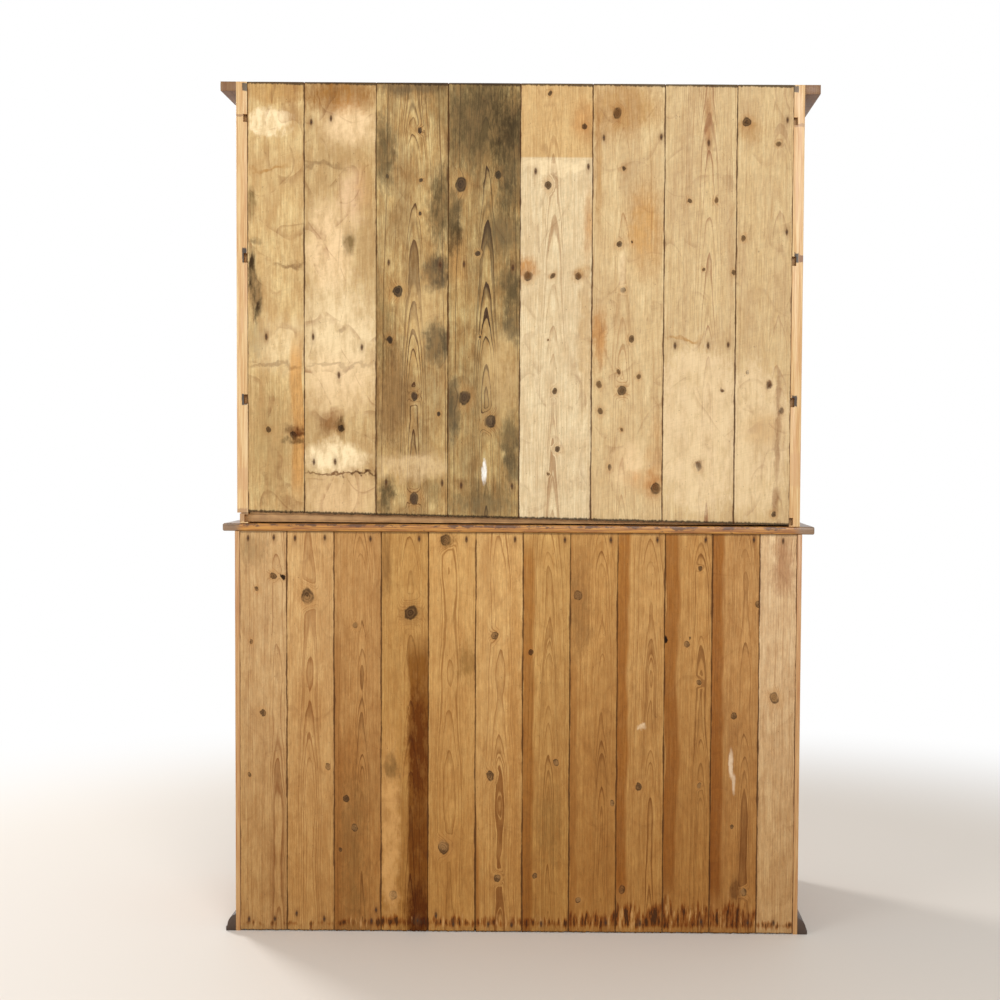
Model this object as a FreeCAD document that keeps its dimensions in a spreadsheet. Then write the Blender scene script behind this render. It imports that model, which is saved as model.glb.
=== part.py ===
import FreeCAD, Part
import math
import os
import re

import Sketcher

# A step back cupboard in two parts: a deep base with two drawers over two panelled doors, and a
# shallower upper case with two glazed doors, stepped back so that the base's slab makes a ledge.
# Millimetres. +Z is up and the front faces -Y. X is 0 in the middle, Y is 0 half way through the
# whole depth, knobs included, and Z is 0 on the floor.

doc = FreeCAD.newDocument("StepBackCupboard")
sheet = doc.addObject("Spreadsheet::Sheet", "Sizes")
nodes = []

# The driving dimensions. The rest follows from them by formula.
SIZES = {
    # -- the whole cupboard
    "total_height": 2045,  # floor to the top of the cornice
    "base_height": 993,  # floor to the top of the slab
    "base_width": 1366,  # over the base's sides
    "base_depth": 470,  # base's face frame to its back
    "upper_width": 1354,  # over the upper case's sides
    "upper_depth": 300,  # upper case's face frame to its back
    # -- boards
    "base_side": 22,  # thickness of the base's sides
    "upper_side": 26,  # thickness of the upper case's sides
    "base_board": 18,  # thickness of the base's bottom and shelf
    "upper_board": 18,  # thickness of the upper case's top and bottom
    "upper_shelf": 22,  # thickness of the upper case's shelves
    "housing_depth": 9,  # how deep a shelf is let into a side
    "frame_thickness": 22,  # thickness of the face frames
    # -- slab, cornice and plinth
    "slab_thickness": 19,  # thickness of the slab on the base
    "slab_side_overhang": 30,  # slab past the base's sides
    "slab_front_overhang": 28,  # slab past the base's face
    "slab_rounding": 4,  # rounding of the slab's edges
    "cornice_height": 22,  # height of the cornice
    "cornice_overhang": 37,  # cornice past the upper case
    "plinth_height": 40,  # height of the plinth
    "plinth_projection": 24,  # plinth past the base
    "plinth_quirk": 11,  # upright part of the plinth under its curve
    "plinth_step": 3,  # ledge between the upright part and the curve
    "plinth_curve": 30,  # radius of the plinth's curve
    "plinth_top": 3,  # flat on the plinth's top edge
    # -- heights in the base
    "base_bottom_rail": 90,  # height of the base's bottom rail, level with its bottom board
    "base_shelf_height": 358,  # top of the base's shelf above its bottom board
    "base_top_rail": 30,  # height of the rail over the drawers
    "drawer_opening": 140,  # height of the drawers' openings
    "drawer_rail_height": 25,  # height of the rail under the drawers
    "shelf_setback": 8,  # gap between a shelf's front and the doors' backs
    # -- heights in the upper case
    "upper_bottom_gap": 3,  # gap between the slab and the upper case's bottom board
    "upper_bottom_rail": 45,  # height of the upper case's bottom rail
    "frieze_height": 95,  # height of the frieze rail under the cornice
    "low_shelf_height": 309,  # top of the lower shelf above the slab
    "high_shelf_height": 646,  # top of the higher shelf above the slab
    # -- face frames
    "base_stile": 50,  # width of the base's stiles
    "upper_stile": 45,  # width of the upper case's stiles
    "drawer_divider": 30,  # width of the upright between the drawers
    "frame_tenon_length": 25,  # tenon of a face frame's rail
    "frame_tenon_thickness": 8,  # thickness of a face frame's tenons
    "frame_tenon_shoulder": 4,  # shoulder above and below a tenon
    "stub_tenon": 8,  # length of a stub tenon
    # -- back boards
    "base_back": 12,  # thickness of the base's back boards
    "base_rebate": 11,  # rebate in the base's sides for the back boards
    "base_back_pitch": 114,  # width of one matchboard in the base's back
    "upper_back": 13,  # thickness of the upper case's back boards
    "upper_back_first": 136,  # width of the first back board of the upper case
    "upper_back_last": 134,  # width of the last one, its bare tongue included
    "upper_back_bare": 9,  # bare tongue beside the last back board
    "tongue_length": 6,  # tongue of a matchboard
    "tongue_thickness": 4,  # thickness of that tongue
    "tongue_clearance": 0.3,  # room round a tongue in its groove
    "back_gap_high": 26,  # first upper back board's end above the slab
    "back_gap_low": 2,  # last upper back board's end above the slab
    "back_rail": 60,  # height of the base's rails behind its back boards' ends
    "back_rail_thickness": 22,  # thickness of those rails
    # -- doors
    "door_gap": 2,  # gap round a door
    "door_thickness": 22,  # thickness of the doors
    "glass_stile": 60,  # width of a glazed door's stiles and top rail
    "glass_bottom_rail": 75,  # height of a glazed door's bottom rail
    "glazing_bar": 20,  # width of a glazing bar
    "glazing_rebate": 7,  # width of the rebate that holds a pane
    "glazing_rebate_depth": 12,  # depth of that rebate from the door's back
    "glazing_chamfer": 5,  # chamfer round each pane on the front
    "pane_thickness": 3,  # thickness of the glass
    "pane_clearance": 1,  # gap round a pane in its rebate
    "panel_stile": 75,  # width of a panelled door's stiles and top rail
    "panel_bottom_rail": 95,  # height of a panelled door's bottom rail
    "panel_groove": 10,  # depth of the groove that holds a panel
    "panel_groove_width": 6,  # width of that groove
    "panel_clearance": 0.2,  # room round a panel's tongue, front and back
    "panel_shrinkage": 1.5,  # room at a panel's edges for it to move
    "panel_bevel": 38,  # width of a raised panel's bevel
    "panel_raise": 6,  # rise of that bevel
    "panel_field": 2,  # step round the raised field
    "door_tenon_length": 45,  # tenon of a door's rail
    "door_tenon_thickness": 7,  # thickness of a door's tenons
    "door_tenon_shoulder": 12,  # shoulder above and below a door's tenon
    # -- drawers
    "drawer_gap": 1.5,  # gap round a drawer's front
    "drawer_running_gap": 0.3,  # gap between a drawer and its runner
    "drawer_front": 22,  # thickness of a drawer's front
    "drawer_lap": 7,  # front left outside the half-blind dovetails
    "drawer_side": 12,  # thickness of a drawer's sides and back
    "drawer_headroom": 9.7,  # gap between a drawer's sides and the rail over them
    "drawer_length": 400,  # length of a drawer's sides
    "drawer_bottom": 8,  # thickness of a drawer's bottom
    "drawer_bottom_height": 10,  # drawer's bottom above the edge of its sides
    "drawer_groove": 5,  # depth of the grooves for a drawer's bottom
    "drawer_groove_clearance": 0.2,  # room round the bottom in its grooves
    "dovetail_count": 4,  # dovetails on one corner of a drawer
    "dovetail_pin": 3,  # half of a pin's narrow end
    "dovetail_slope": 0.17,  # sideways run of a dovetail over its length
    "runner_reach": 30,  # runner and kicker under and over a drawer
    "guide_height": 40,  # height of the guides beside the drawers
    # -- hinges
    "hinge_height": 70,  # height of a butt hinge
    "hinge_knuckles": 3,  # knuckles on one hinge
    "hinge_inset": 90,  # door's end to the nearer end of a hinge
    "knuckle_radius": 4,  # outer radius of a knuckle
    "knuckle_clearance": 0.2,  # room round a knuckle in the other leaf
    "knuckle_stand_off": 0.3,  # gap between a knuckle and the door's face
    "hinge_pin_radius": 1.5,  # radius of a hinge pin
    "hinge_pin_clearance": 0.05,  # room round a hinge pin
    "leaf_thickness": 2,  # thickness of a hinge's leaf
    "leaf_reach": 18,  # leaf behind the door's face
    "leaf_gap": 0.4,  # gap between the closed leaves
    # -- knobs and turn buttons
    "knob_reach": 34,  # knob in front of the wood it stands on
    "knob_radius": 17,  # greatest radius of a knob
    "knob_foot_radius": 10,  # radius of a knob's foot
    "knob_neck_radius": 7.5,  # least radius of a knob's neck
    "knob_neck_height": 10,  # height of the neck's narrowest part
    "knob_rim_height": 25,  # height of a knob's widest part
    "knob_face_radius": 10,  # radius of the flat on a knob's crown
    "drawer_knob_place": 150,  # drawer's end to its knob
    "door_knob_share": 0.52,  # height of a door's knob over the door's own height
    "button_length": 64,  # length of a turn button
    "button_width": 20,  # width of a turn button
    "button_thickness": 10,  # thickness of a turn button
    "button_corner": 6,  # how far its corners are clipped
    "button_clearance": 0.4,  # gap behind and in front of a turn button
    "button_height": 14,  # pivot of the upper turn button above the opening
    "screw_radius": 2.5,  # radius of a turn button's screw
    "screw_clearance": 0.06,  # room round that screw in the button
    "screw_length": 14,  # screw in the wood
    "screw_head_radius": 6,  # radius of the screw's head
    "screw_head_height": 3,  # height of the screw's head
}

# One row for each size: its name in column A, and in column B its value under an alias.
for row, (alias, millimetres) in enumerate(SIZES.items(), start=1):
    sheet.set(f"A{row}", alias)
    sheet.set(f"B{row}", str(millimetres))
    sheet.setAlias(f"B{row}", alias)
doc.recompute()

# ---- places that follow from the sizes, as formulas

BACK = "((base_depth + knob_reach) / 2)"
BASE_FACE = f"({BACK} - base_depth)"
BASE_FRAME_BACK = f"({BASE_FACE} + frame_thickness)"
BASE_BACK = f"({BACK} - base_back)"
BASE_OUTSIDE = "(base_width / 2)"
BASE_INSIDE = "(base_width / 2 - base_side)"
BASE_OPENING = "(base_width / 2 - base_stile)"
SLAB_UNDERSIDE = "(base_height - slab_thickness)"
DRAWER_TOP = f"({SLAB_UNDERSIDE} - base_top_rail)"
DRAWER_RAIL_TOP = f"({DRAWER_TOP} - drawer_opening)"
DRAWER_RAIL_BOTTOM = f"({DRAWER_RAIL_TOP} - drawer_rail_height)"
DRAWER_LOW = f"({DRAWER_RAIL_TOP} + drawer_running_gap)"
DRAWER_SIDE_TOP = f"({DRAWER_TOP} - drawer_headroom)"
UPPER_FACE = f"({BACK} - upper_depth)"
UPPER_FRAME_BACK = f"({UPPER_FACE} + frame_thickness)"
UPPER_BACK = f"({BACK} - upper_back)"
UPPER_OUTSIDE = "(upper_width / 2)"
UPPER_INSIDE = "(upper_width / 2 - upper_side)"
UPPER_OPENING = "(upper_width / 2 - upper_stile)"
UPPER_OPENING_BOTTOM = "(base_height + upper_bottom_rail)"
UPPER_OPENING_TOP = "(total_height - frieze_height)"

XY, XZ, YZ = "XY_Plane", "XZ_Plane", "YZ_Plane"


def formula(text):
    """A formula as the document reads it, with each size taken from the sheet."""

    def word(found):
        name = found.group()
        return f"Sizes.{name}" if name in SIZES else name

    return re.sub(r"[a-z_]+", word, str(text))


def value(text):
    return float(sheet.evalExpression(formula(text)))


def bind(thing, property_name, text):
    thing.setExpression(property_name, formula(text))


def place(thing, x="0", y="0", z="0"):
    for corner, text in zip("xyz", (x, y, z)):
        bind(thing, f"Placement.Base.{corner}", text)


def node(thing, name):
    """Marks a finished sub-part and gives it the name of its file."""
    thing.Label = name
    nodes.append(thing)
    return thing


# ---- solids


def board(name, x, y, z):
    """A rectangular piece that runs between two formulas along each axis."""
    piece = doc.addObject("Part::Box", name)
    for edge, (low, high) in zip(("Length", "Width", "Height"), (x, y, z)):
        bind(piece, edge, f"({high}) - ({low})")
    place(piece, x[0], y[0], z[0])
    return piece


def cylinder(name, radius, x, y, z, height):
    """An upright cylinder that stands on a point."""
    piece = doc.addObject("Part::Cylinder", name)
    bind(piece, "Radius", radius)
    bind(piece, "Height", height)
    place(piece, x, y, z)
    return piece


def together(name, pieces):
    """Separate solids in one object."""
    group = doc.addObject("Part::Compound", name)
    group.Links = pieces
    return group


def fused(name, *pieces):
    whole = doc.addObject("Part::MultiFuse", name)
    whole.Shapes = list(pieces)
    return whole


def cut(name, base, *tools):
    piece = doc.addObject("Part::Cut", name)
    piece.Base = base
    piece.Tool = tools[0] if len(tools) == 1 else together(f"{name}_tools", list(tools))
    return piece


def mirrored(name, source):
    """The same piece on the other side of the middle."""
    piece = doc.addObject("Part::Mirroring", name)
    piece.Source = source
    piece.Normal = FreeCAD.Vector(1, 0, 0)
    return piece


def arc_between(start, end, radius, turn):
    """The short arc between two points. turn is 1 where it runs anticlockwise and -1 otherwise."""
    chord = end - start
    height = math.sqrt(radius**2 - (chord.Length / 2) ** 2)
    leftward = FreeCAD.Vector(-chord.y, chord.x, 0).normalize()
    centre = (start + end) * 0.5 + leftward * height * turn
    first, last = (start, end) if turn > 0 else (end, start)
    angles = [math.atan2(point.y - centre.y, point.x - centre.x) for point in (first, last)]
    if angles[1] < angles[0]:
        angles[1] += 2 * math.pi
    return Part.ArcOfCircle(Part.Circle(centre, FreeCAD.Vector(0, 0, 1), radius), *angles)


def add_outline(sketch, corners):
    """Draws one closed outline.

    Each corner is (across, up), reached by a straight line, or (across, up, radius, turn), reached
    by an arc. Every coordinate and radius is a formula, and its constraint is bound to it.
    """
    first = sketch.GeometryCount
    points = [FreeCAD.Vector(value(corner[0]), value(corner[1]), 0) for corner in corners]
    starts = []
    for index, corner in enumerate(corners):
        start, end = points[index - 1], points[index]
        if len(corner) == 2:
            sketch.addGeometry(Part.LineSegment(start, end))
            starts.append((1, 2))
        else:
            sketch.addGeometry(arc_between(start, end, value(corner[2]), corner[3]))
            starts.append((1, 2) if corner[3] > 0 else (2, 1))
            radius = sketch.addConstraint(
                Sketcher.Constraint("Radius", first + index, value(corner[2]))
            )
            bind(sketch, f"Constraints[{radius}]", corner[2])
    for index, (corner, point) in enumerate(zip(corners, points)):
        after = (index + 1) % len(corners)
        here = (first + index, starts[index][1])
        sketch.addConstraint(
            Sketcher.Constraint("Coincident", *here, first + after, starts[after][0])
        )
        for kind, text, number in (("DistanceX", corner[0], point.x), ("DistanceY", corner[1], point.y)):
            distance = sketch.addConstraint(Sketcher.Constraint(kind, -1, 1, *here, number))
            bind(sketch, f"Constraints[{distance}]", text)


def sketch_in(body, name, role, *outlines):
    """A sketch on one of the body's own origin planes."""
    sketch = body.newObject("Sketcher::SketchObject", name)
    plane = next(f for f in body.Origin.OriginFeatures if f.Role == role)
    sketch.AttachmentSupport = (plane, [""])
    sketch.MapMode = "FlatFace"
    for corners in outlines:
        add_outline(sketch, corners)
    return sketch


def profile(name, role, corners, length, x="0", y="0", z="0", symmetric=False):
    """A body made by padding one outline."""
    body = doc.addObject("PartDesign::Body", name)
    sketch = sketch_in(body, f"{name}_outline", role, corners)
    pad = body.newObject("PartDesign::Pad", f"{name}_pad")
    pad.Profile = sketch
    bind(pad, "Length", length)
    if symmetric:
        pad.SideType = "Symmetric"
    place(body, x, y, z)
    return body


def tenoned(name, x, y, z, length, thickness, shoulder):
    """A rail along X with a tenon in the middle of its thickness at each end."""
    middle = f"(({y[0]} + {y[1]}) / 2)"
    rail = board(f"{name}_rail", x, y, z)
    tenon = board(
        f"{name}_tenon",
        (f"{x[0]} - {length}", f"{x[1]} + {length}"),
        (f"{middle} - {thickness} / 2", f"{middle} + {thickness} / 2"),
        (f"{z[0]} + {shoulder}", f"{z[1]} - {shoulder}"),
    )
    return fused(name, rail, tenon)


def face_rail(name, half_opening, y, z):
    """A rail of a face frame, from one stile to the other."""
    ends = (f"-{half_opening}", half_opening)
    tenon = ("frame_tenon_length", "frame_tenon_thickness", "frame_tenon_shoulder")
    return tenoned(name, ends, y, z, *tenon)


# ---- knobs, hinges and turn buttons


def knob(name, x, y, z):
    """A turned knob whose foot stands on the wood at a point."""
    half = [
        ("0", "-knob_reach"),
        ("knob_face_radius", "-knob_reach"),
        ("knob_radius", "-knob_rim_height"),
        ("knob_neck_radius", "-knob_neck_height"),
        ("knob_foot_radius", "0"),
        ("0", "0"),
    ]
    body = doc.addObject("PartDesign::Body", name)
    sketch = sketch_in(body, f"{name}_half", XY, half)
    turned = body.newObject("PartDesign::Revolution", f"{name}_turned")
    turned.Profile = sketch
    turned.ReferenceAxis = (sketch, ["V_Axis"])
    turned.Angle = 360
    place(body, x, y, z)
    return body


def butt_hinge(name, x, face, z):
    """A butt hinge of a right-hand door, by the middle of the door's gap and the hinge's foot.

    Both leaves are let into the edges of the door and the stile, so the knuckles stand in front of
    the face. The fixed leaf has the outer knuckles and the pin, which is fast in them. Returns the
    fixed leaf, the moving leaf and the blanks of their two mortises.
    """
    axis = f"({face} - knuckle_radius - knuckle_stand_off)"
    pitch = "(hinge_height / hinge_knuckles)"
    bore = cylinder(f"{name}_bore", "hinge_pin_radius + hinge_pin_clearance", x, axis, z, "hinge_height")
    pin = cylinder(f"{name}_pin", "hinge_pin_radius", x, axis, z, "hinge_height")
    near, far = "leaf_gap / 2", "(leaf_gap / 2 + leaf_thickness)"
    reaches = {"fixed": (f"{x} + {near}", f"{x} + {far}"), "moving": (f"{x} - {far}", f"{x} - {near}")}
    leaves, plates = [], []
    for turn, (side, reach) in enumerate(reaches.items()):
        depth, height = (axis, f"{face} + leaf_reach"), (z, f"{z} + hinge_height")
        plate = board(f"{name}_{side}_plate", reach, depth, height)
        barrel = cylinder(f"{name}_{side}_barrel", "knuckle_radius", x, axis, z, "hinge_height")
        rooms = [
            cylinder(
                f"{name}_{side}_room_{count}",
                "knuckle_radius + knuckle_clearance",
                x,
                axis,
                f"{z} + {count} * {pitch} - knuckle_clearance / 2",
                f"{pitch} + knuckle_clearance",
            )
            for count in range(int(value("hinge_knuckles")))
            if count % 2 != turn
        ]
        blank = fused(f"{name}_{side}_blank", plate, barrel)
        if side == "fixed":
            leaf = fused(f"{name}_fixed_leaf", cut(f"{name}_fixed_knuckles", blank, *rooms), pin)
        else:
            leaf = cut(f"{name}_moving_leaf", blank, fused(f"{name}_moving_voids", bore, *rooms))
        leaves.append(leaf)
        plates.append(plate)
    return leaves[0], leaves[1], plates


def turn_button(name, y, z):
    """A turn button across the middle, and the screw that it turns on."""
    half, end, clip = "(button_length / 2)", "(button_width / 2)", "button_corner"
    body = doc.addObject("PartDesign::Body", f"{name}_body")
    outline = [
        (f"{half} - {clip}", f"-{end}"),
        (half, f"-{end} + {clip}"),
        (half, f"{end} - {clip}"),
        (f"{half} - {clip}", end),
        (f"-{half} + {clip}", end),
        (f"-{half}", f"{end} - {clip}"),
        (f"-{half}", f"-{end} + {clip}"),
        (f"-{half} + {clip}", f"-{end}"),
    ]
    pad = body.newObject("PartDesign::Pad", f"{name}_pad")
    pad.Profile = sketch_in(body, f"{name}_outline", XZ, outline)
    bind(pad, "Length", "button_thickness")
    place(body, "0", f"{y} - button_clearance", z)

    def round_bar(part, radius, low, high):
        bar = cylinder(f"{name}_{part}", radius, "0", low, z, f"({high}) - ({low})")
        bar.Placement.Rotation = FreeCAD.Rotation(FreeCAD.Vector(1, 0, 0), -90)
        place(bar, "0", low, z)
        return bar

    head_back = f"{y} - 2 * button_clearance - button_thickness"
    hole = round_bar("hole", "screw_radius + screw_clearance", head_back, y)
    shank = round_bar("shank", "screw_radius", head_back, f"{y} + screw_length")
    head = round_bar("head", "screw_head_radius", f"{head_back} - screw_head_height", head_back)
    return cut(name, body, hole), fused(f"{name}_screw", shank, head)


# ---- the base


def base_side():
    """The right side of the base in plan, with a rebate behind for the back boards."""
    inside, outside = BASE_INSIDE, BASE_OUTSIDE
    plan = [
        (inside, BASE_FRAME_BACK),
        (outside, BASE_FRAME_BACK),
        (outside, BACK),
        (f"{inside} + base_rebate", BACK),
        (f"{inside} + base_rebate", BASE_BACK),
        (inside, BASE_BACK),
    ]
    return profile("base_side_blank", XY, plan, SLAB_UNDERSIDE)


def housed_board(name, inside, y, top, thickness):
    """A shelf or bottom that is let into both sides."""
    ends = (f"-({inside} + housing_depth)", f"{inside} + housing_depth")
    return board(name, ends, y, (f"{top} - {thickness}", top))


base_bottom = housed_board(
    "base_bottom", BASE_INSIDE, (BASE_FRAME_BACK, BASE_BACK), "base_bottom_rail", "base_board"
)
base_shelf = housed_board(
    "base_shelf",
    BASE_INSIDE,
    (f"{BASE_FRAME_BACK} + shelf_setback", BASE_BACK),
    "(base_bottom_rail + base_shelf_height)",
    "base_board",
)
base_side_right = cut("base_side_right", base_side(), base_bottom, base_shelf)

base_frame_y = (BASE_FACE, BASE_FRAME_BACK)
divider_half = "(drawer_divider / 2)"
divider = fused(
    "divider",
    board("divider_bar", (f"-{divider_half}", divider_half), base_frame_y, (DRAWER_RAIL_TOP, DRAWER_TOP)),
    board(
        "divider_tenons",
        (f"-{divider_half} + frame_tenon_shoulder", f"{divider_half} - frame_tenon_shoulder"),
        (
            f"{BASE_FACE} + (frame_thickness - frame_tenon_thickness) / 2",
            f"{BASE_FACE} + (frame_thickness + frame_tenon_thickness) / 2",
        ),
        (f"{DRAWER_RAIL_TOP} - stub_tenon", f"{DRAWER_TOP} + stub_tenon"),
    ),
)
base_top_rail = face_rail("base_top_rail_bar", BASE_OPENING, base_frame_y, (DRAWER_TOP, SLAB_UNDERSIDE))
drawer_rail = face_rail(
    "drawer_rail_bar", BASE_OPENING, base_frame_y, (DRAWER_RAIL_BOTTOM, DRAWER_RAIL_TOP)
)
base_bottom_rail = face_rail("base_bottom_rail_bar", BASE_OPENING, base_frame_y, ("0", "base_bottom_rail"))
lower_button, lower_screw = turn_button(
    "lower_turn_button_bar", BASE_FACE, f"{DRAWER_RAIL_TOP} - drawer_rail_height / 2"
)
base_rails = [
    cut("base_top_rail_piece", base_top_rail, divider),
    cut("drawer_rail_piece", drawer_rail, divider, lower_screw),
    base_bottom_rail,
]

# The slab lies on the sides and rails, flush with the back, its other edges rounded.
slab_blank = board(
    "slab_blank",
    (f"-({BASE_OUTSIDE} + slab_side_overhang)", f"{BASE_OUTSIDE} + slab_side_overhang"),
    (f"{BASE_FACE} - slab_front_overhang", BACK),
    (SLAB_UNDERSIDE, "base_height"),
)
doc.recompute()


def rounded_slab():
    """The slab with its long front edges and its end edges rounded over."""
    slab = doc.addObject("Part::Fillet", "slab")
    slab.Base = slab_blank
    box = slab_blank.Shape.BoundBox
    radius = value("slab_rounding")
    edges = []
    for index, edge in enumerate(slab_blank.Shape.Edges):
        middle = edge.CenterOfMass
        upright = abs(middle.z - box.Center.z) < 1
        if middle.y < box.YMax - 1 and not upright:
            edges.append((index + 1, radius, radius))
    slab.Edges = edges
    return slab


slab = rounded_slab()


def drawer_rails():
    """Runners under the drawers, guides beside them and kickers over them: right, middle, left."""
    length = (BASE_FRAME_BACK, f"{BASE_BACK} - back_rail_thickness")
    outer = (f"{BASE_OPENING} - runner_reach", BASE_INSIDE)
    middle = (f"-{divider_half} - runner_reach", f"{divider_half} + runner_reach")
    outer_guide = (BASE_OPENING, BASE_INSIDE)
    middle_guide = (f"-{divider_half}", divider_half)
    wide = (outer, middle)
    heights = {
        "drawer_runners": (wide, DRAWER_RAIL_BOTTOM, DRAWER_RAIL_TOP),
        "drawer_guides": ((outer_guide, middle_guide), DRAWER_RAIL_TOP, f"{DRAWER_RAIL_TOP} + guide_height"),
        "drawer_kickers": (wide, DRAWER_TOP, SLAB_UNDERSIDE),
    }
    for name, ((right_x, middle_x), low, high) in heights.items():
        right = board(f"{name}_right", right_x, length, (low, high))
        middle_piece = board(f"{name}_middle", middle_x, length, (low, high))
        left = mirrored(f"{name}_left", right)
        node(together(f"{name}_group", [right, middle_piece, left]), name)


def back_rail(name, low):
    ends = (f"-{BASE_INSIDE}", BASE_INSIDE)
    y = (f"{BASE_BACK} - back_rail_thickness", BASE_BACK)
    return board(name, ends, y, (low, f"{low} + back_rail"))


# Three rails between the sides take the nails of the back boards and the runners' ends. The lowest
# stands under the bottom board.
back_rails = [
    back_rail("back_rail_low", "(base_bottom_rail - base_board - back_rail)"),
    back_rail("back_rail_middle", f"({DRAWER_RAIL_TOP} - back_rail)"),
    back_rail("back_rail_high", f"({SLAB_UNDERSIDE} - back_rail)"),
]


# ---- plinth and cornice, mitred at the front corners


def mitre_plan(part, half_width, face, projection):
    """The plan of a mitred moulding: of the front piece, or of the return on the right side."""
    inner, outer = (half_width, face), (f"{half_width} + {projection}", f"{face} - {projection}")
    if part == "front":
        return [(f"-({outer[0]})", outer[1]), outer, inner, (f"-{half_width}", face)]
    return [inner, outer, (outer[0], BACK), (half_width, BACK)]


def plinth_profile(base, outward):
    """The plinth's section: an upright foot, a small ledge and a quarter curve."""
    foot, sign = "plinth_projection", "+" if outward > 0 else "-"
    points = [
        ("0", "0"),
        (foot, "0"),
        (foot, "plinth_quirk"),
        (f"{foot} - plinth_step", "plinth_quirk"),
        ("plinth_top", "plinth_height", "plinth_curve", 1),
        ("0", "plinth_height"),
    ]
    section = [(f"{base} {sign} ({point[0]})", *point[1:]) for point in points]
    if outward < 0:
        section = [(*p[:3], -p[3]) if len(p) == 4 else p for p in section]
    return section


def plinth_piece(part):
    """A length of the plinth's moulding, cut to its mitre."""
    plan = mitre_plan(part, BASE_OUTSIDE, BASE_FACE, "plinth_projection")
    block = profile(f"plinth_{part}_mitre", XY, plan, "plinth_height")
    if part == "front":
        length = f"2 * ({BASE_OUTSIDE} + plinth_projection)"
        section = plinth_profile(BASE_FACE, -1)
        bar = profile(f"plinth_{part}_bar", YZ, section, length, symmetric=True)
    else:
        length = f"2 * ({BACK} + plinth_projection)"
        section = plinth_profile(BASE_OUTSIDE, 1)
        bar = profile(f"plinth_{part}_bar", XZ, section, length, symmetric=True)
    piece = doc.addObject("Part::Common", f"plinth_{part}_piece")
    piece.Base = bar
    piece.Tool = block
    return piece


def cornice_piece(part):
    plan = mitre_plan(part, UPPER_OUTSIDE, UPPER_FACE, "cornice_overhang")
    low = "total_height - cornice_height"
    return profile(f"cornice_{part}_piece", XY, plan, "cornice_height", z=low)


# ---- back boards


def matchboard(name, high_x, width, y, z, grooved, tongue):
    """One back board, its groove on the +X edge and its tongue on the -X edge.

    tongue is the tongue's length, or None for a plain edge.
    """
    middle = "((%s + %s) / 2)" % y
    room = "tongue_clearance"
    plan = [(f"-({width})", y[0]), ("0", y[0])]
    if grooved:
        low, high = f"{middle} - tongue_thickness / 2 - {room}", f"{middle} + tongue_thickness / 2 + {room}"
        depth = f"-(tongue_length + {room})"
        plan += [("0", low), (depth, low), (depth, high), ("0", high)]
    plan += [("0", y[1]), (f"-({width})", y[1])]
    if tongue:
        low, high = f"{middle} - tongue_thickness / 2", f"{middle} + tongue_thickness / 2"
        tip = f"-({width} + {tongue})"
        plan += [(f"-({width})", high), (tip, high), (tip, low), (f"-({width})", low)]
    return profile(name, XY, plan, f"({z[1]}) - ({z[0]})", x=high_x, z=z[0])


def base_back_boards():
    """Matchboards of one width from the +X rebate, and a narrower one that fills the last gap."""
    rebate = f"({BASE_INSIDE} + base_rebate)"
    count = math.ceil(round(value(f"2 * {rebate} / base_back_pitch"), 6))
    pieces = []
    for number in range(count):
        high_x = f"{rebate} - {number} * base_back_pitch"
        last = number == count - 1
        width = f"({high_x} + {rebate})" if last else "base_back_pitch"
        tongue = None if last else "tongue_length"
        z = ("0", SLAB_UNDERSIDE)
        name = f"base_back_board_{number + 1}"
        pieces.append(matchboard(name, high_x, width, (BASE_BACK, BACK), z, number > 0, tongue))
    return pieces


def upper_back_boards():
    """Eight wider matchboards between the sides. Their lower ends follow a slanting line.

    The first and the last have widths of their own, and the others share what is left.
    """
    count = 8
    pitch = f"((2 * {UPPER_INSIDE} - upper_back_first - upper_back_last) / {count - 2})"
    pieces = []
    for number in range(count):
        last = number == count - 1
        high_x, width = UPPER_INSIDE, "upper_back_first"
        if number:
            high_x = f"({UPPER_INSIDE} - upper_back_first - {number - 1} * {pitch})"
            width = "(upper_back_last - upper_back_bare)" if last else pitch
        gap = f"back_gap_high + (back_gap_low - back_gap_high) * {number} / {count - 1}"
        z = (f"base_height + {gap}", "total_height")
        tongue = "upper_back_bare" if last else "tongue_length"
        name = f"upper_board_{number + 1}"
        pieces.append(matchboard(name, high_x, width, (UPPER_BACK, BACK), z, number > 0, tongue))
    return pieces


# ---- the upper case


def upper_side(shelves):
    """The right side of the upper case, housed for its boards through to the back edge."""
    x = (UPPER_INSIDE, UPPER_OUTSIDE)
    blank = board("upper_side_blank", x, (UPPER_FRAME_BACK, BACK), ("base_height", "total_height"))
    housings = [
        board(
            f"{name}_housing",
            (UPPER_INSIDE, f"{UPPER_INSIDE} + housing_depth"),
            (front, BACK),
            (f"{top} - {thickness}", top),
        )
        for name, front, top, thickness in shelves
    ]
    return cut("upper_side_right", blank, *housings)


shelf_front = f"({UPPER_FRAME_BACK} + shelf_setback)"
upper_boards = (
    ("upper_top", UPPER_FRAME_BACK, f"({UPPER_OPENING_TOP} + upper_board)", "upper_board"),
    ("upper_bottom", UPPER_FRAME_BACK, "(base_height + upper_bottom_gap + upper_board)", "upper_board"),
    ("high_shelf", shelf_front, "(base_height + high_shelf_height)", "upper_shelf"),
    ("low_shelf", shelf_front, "(base_height + low_shelf_height)", "upper_shelf"),
)
upper_top, upper_bottom, high_shelf, low_shelf = [
    housed_board(name, UPPER_INSIDE, (front, UPPER_BACK), top, thickness)
    for name, front, top, thickness in upper_boards
]
upper_side_right = upper_side(upper_boards)

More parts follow.
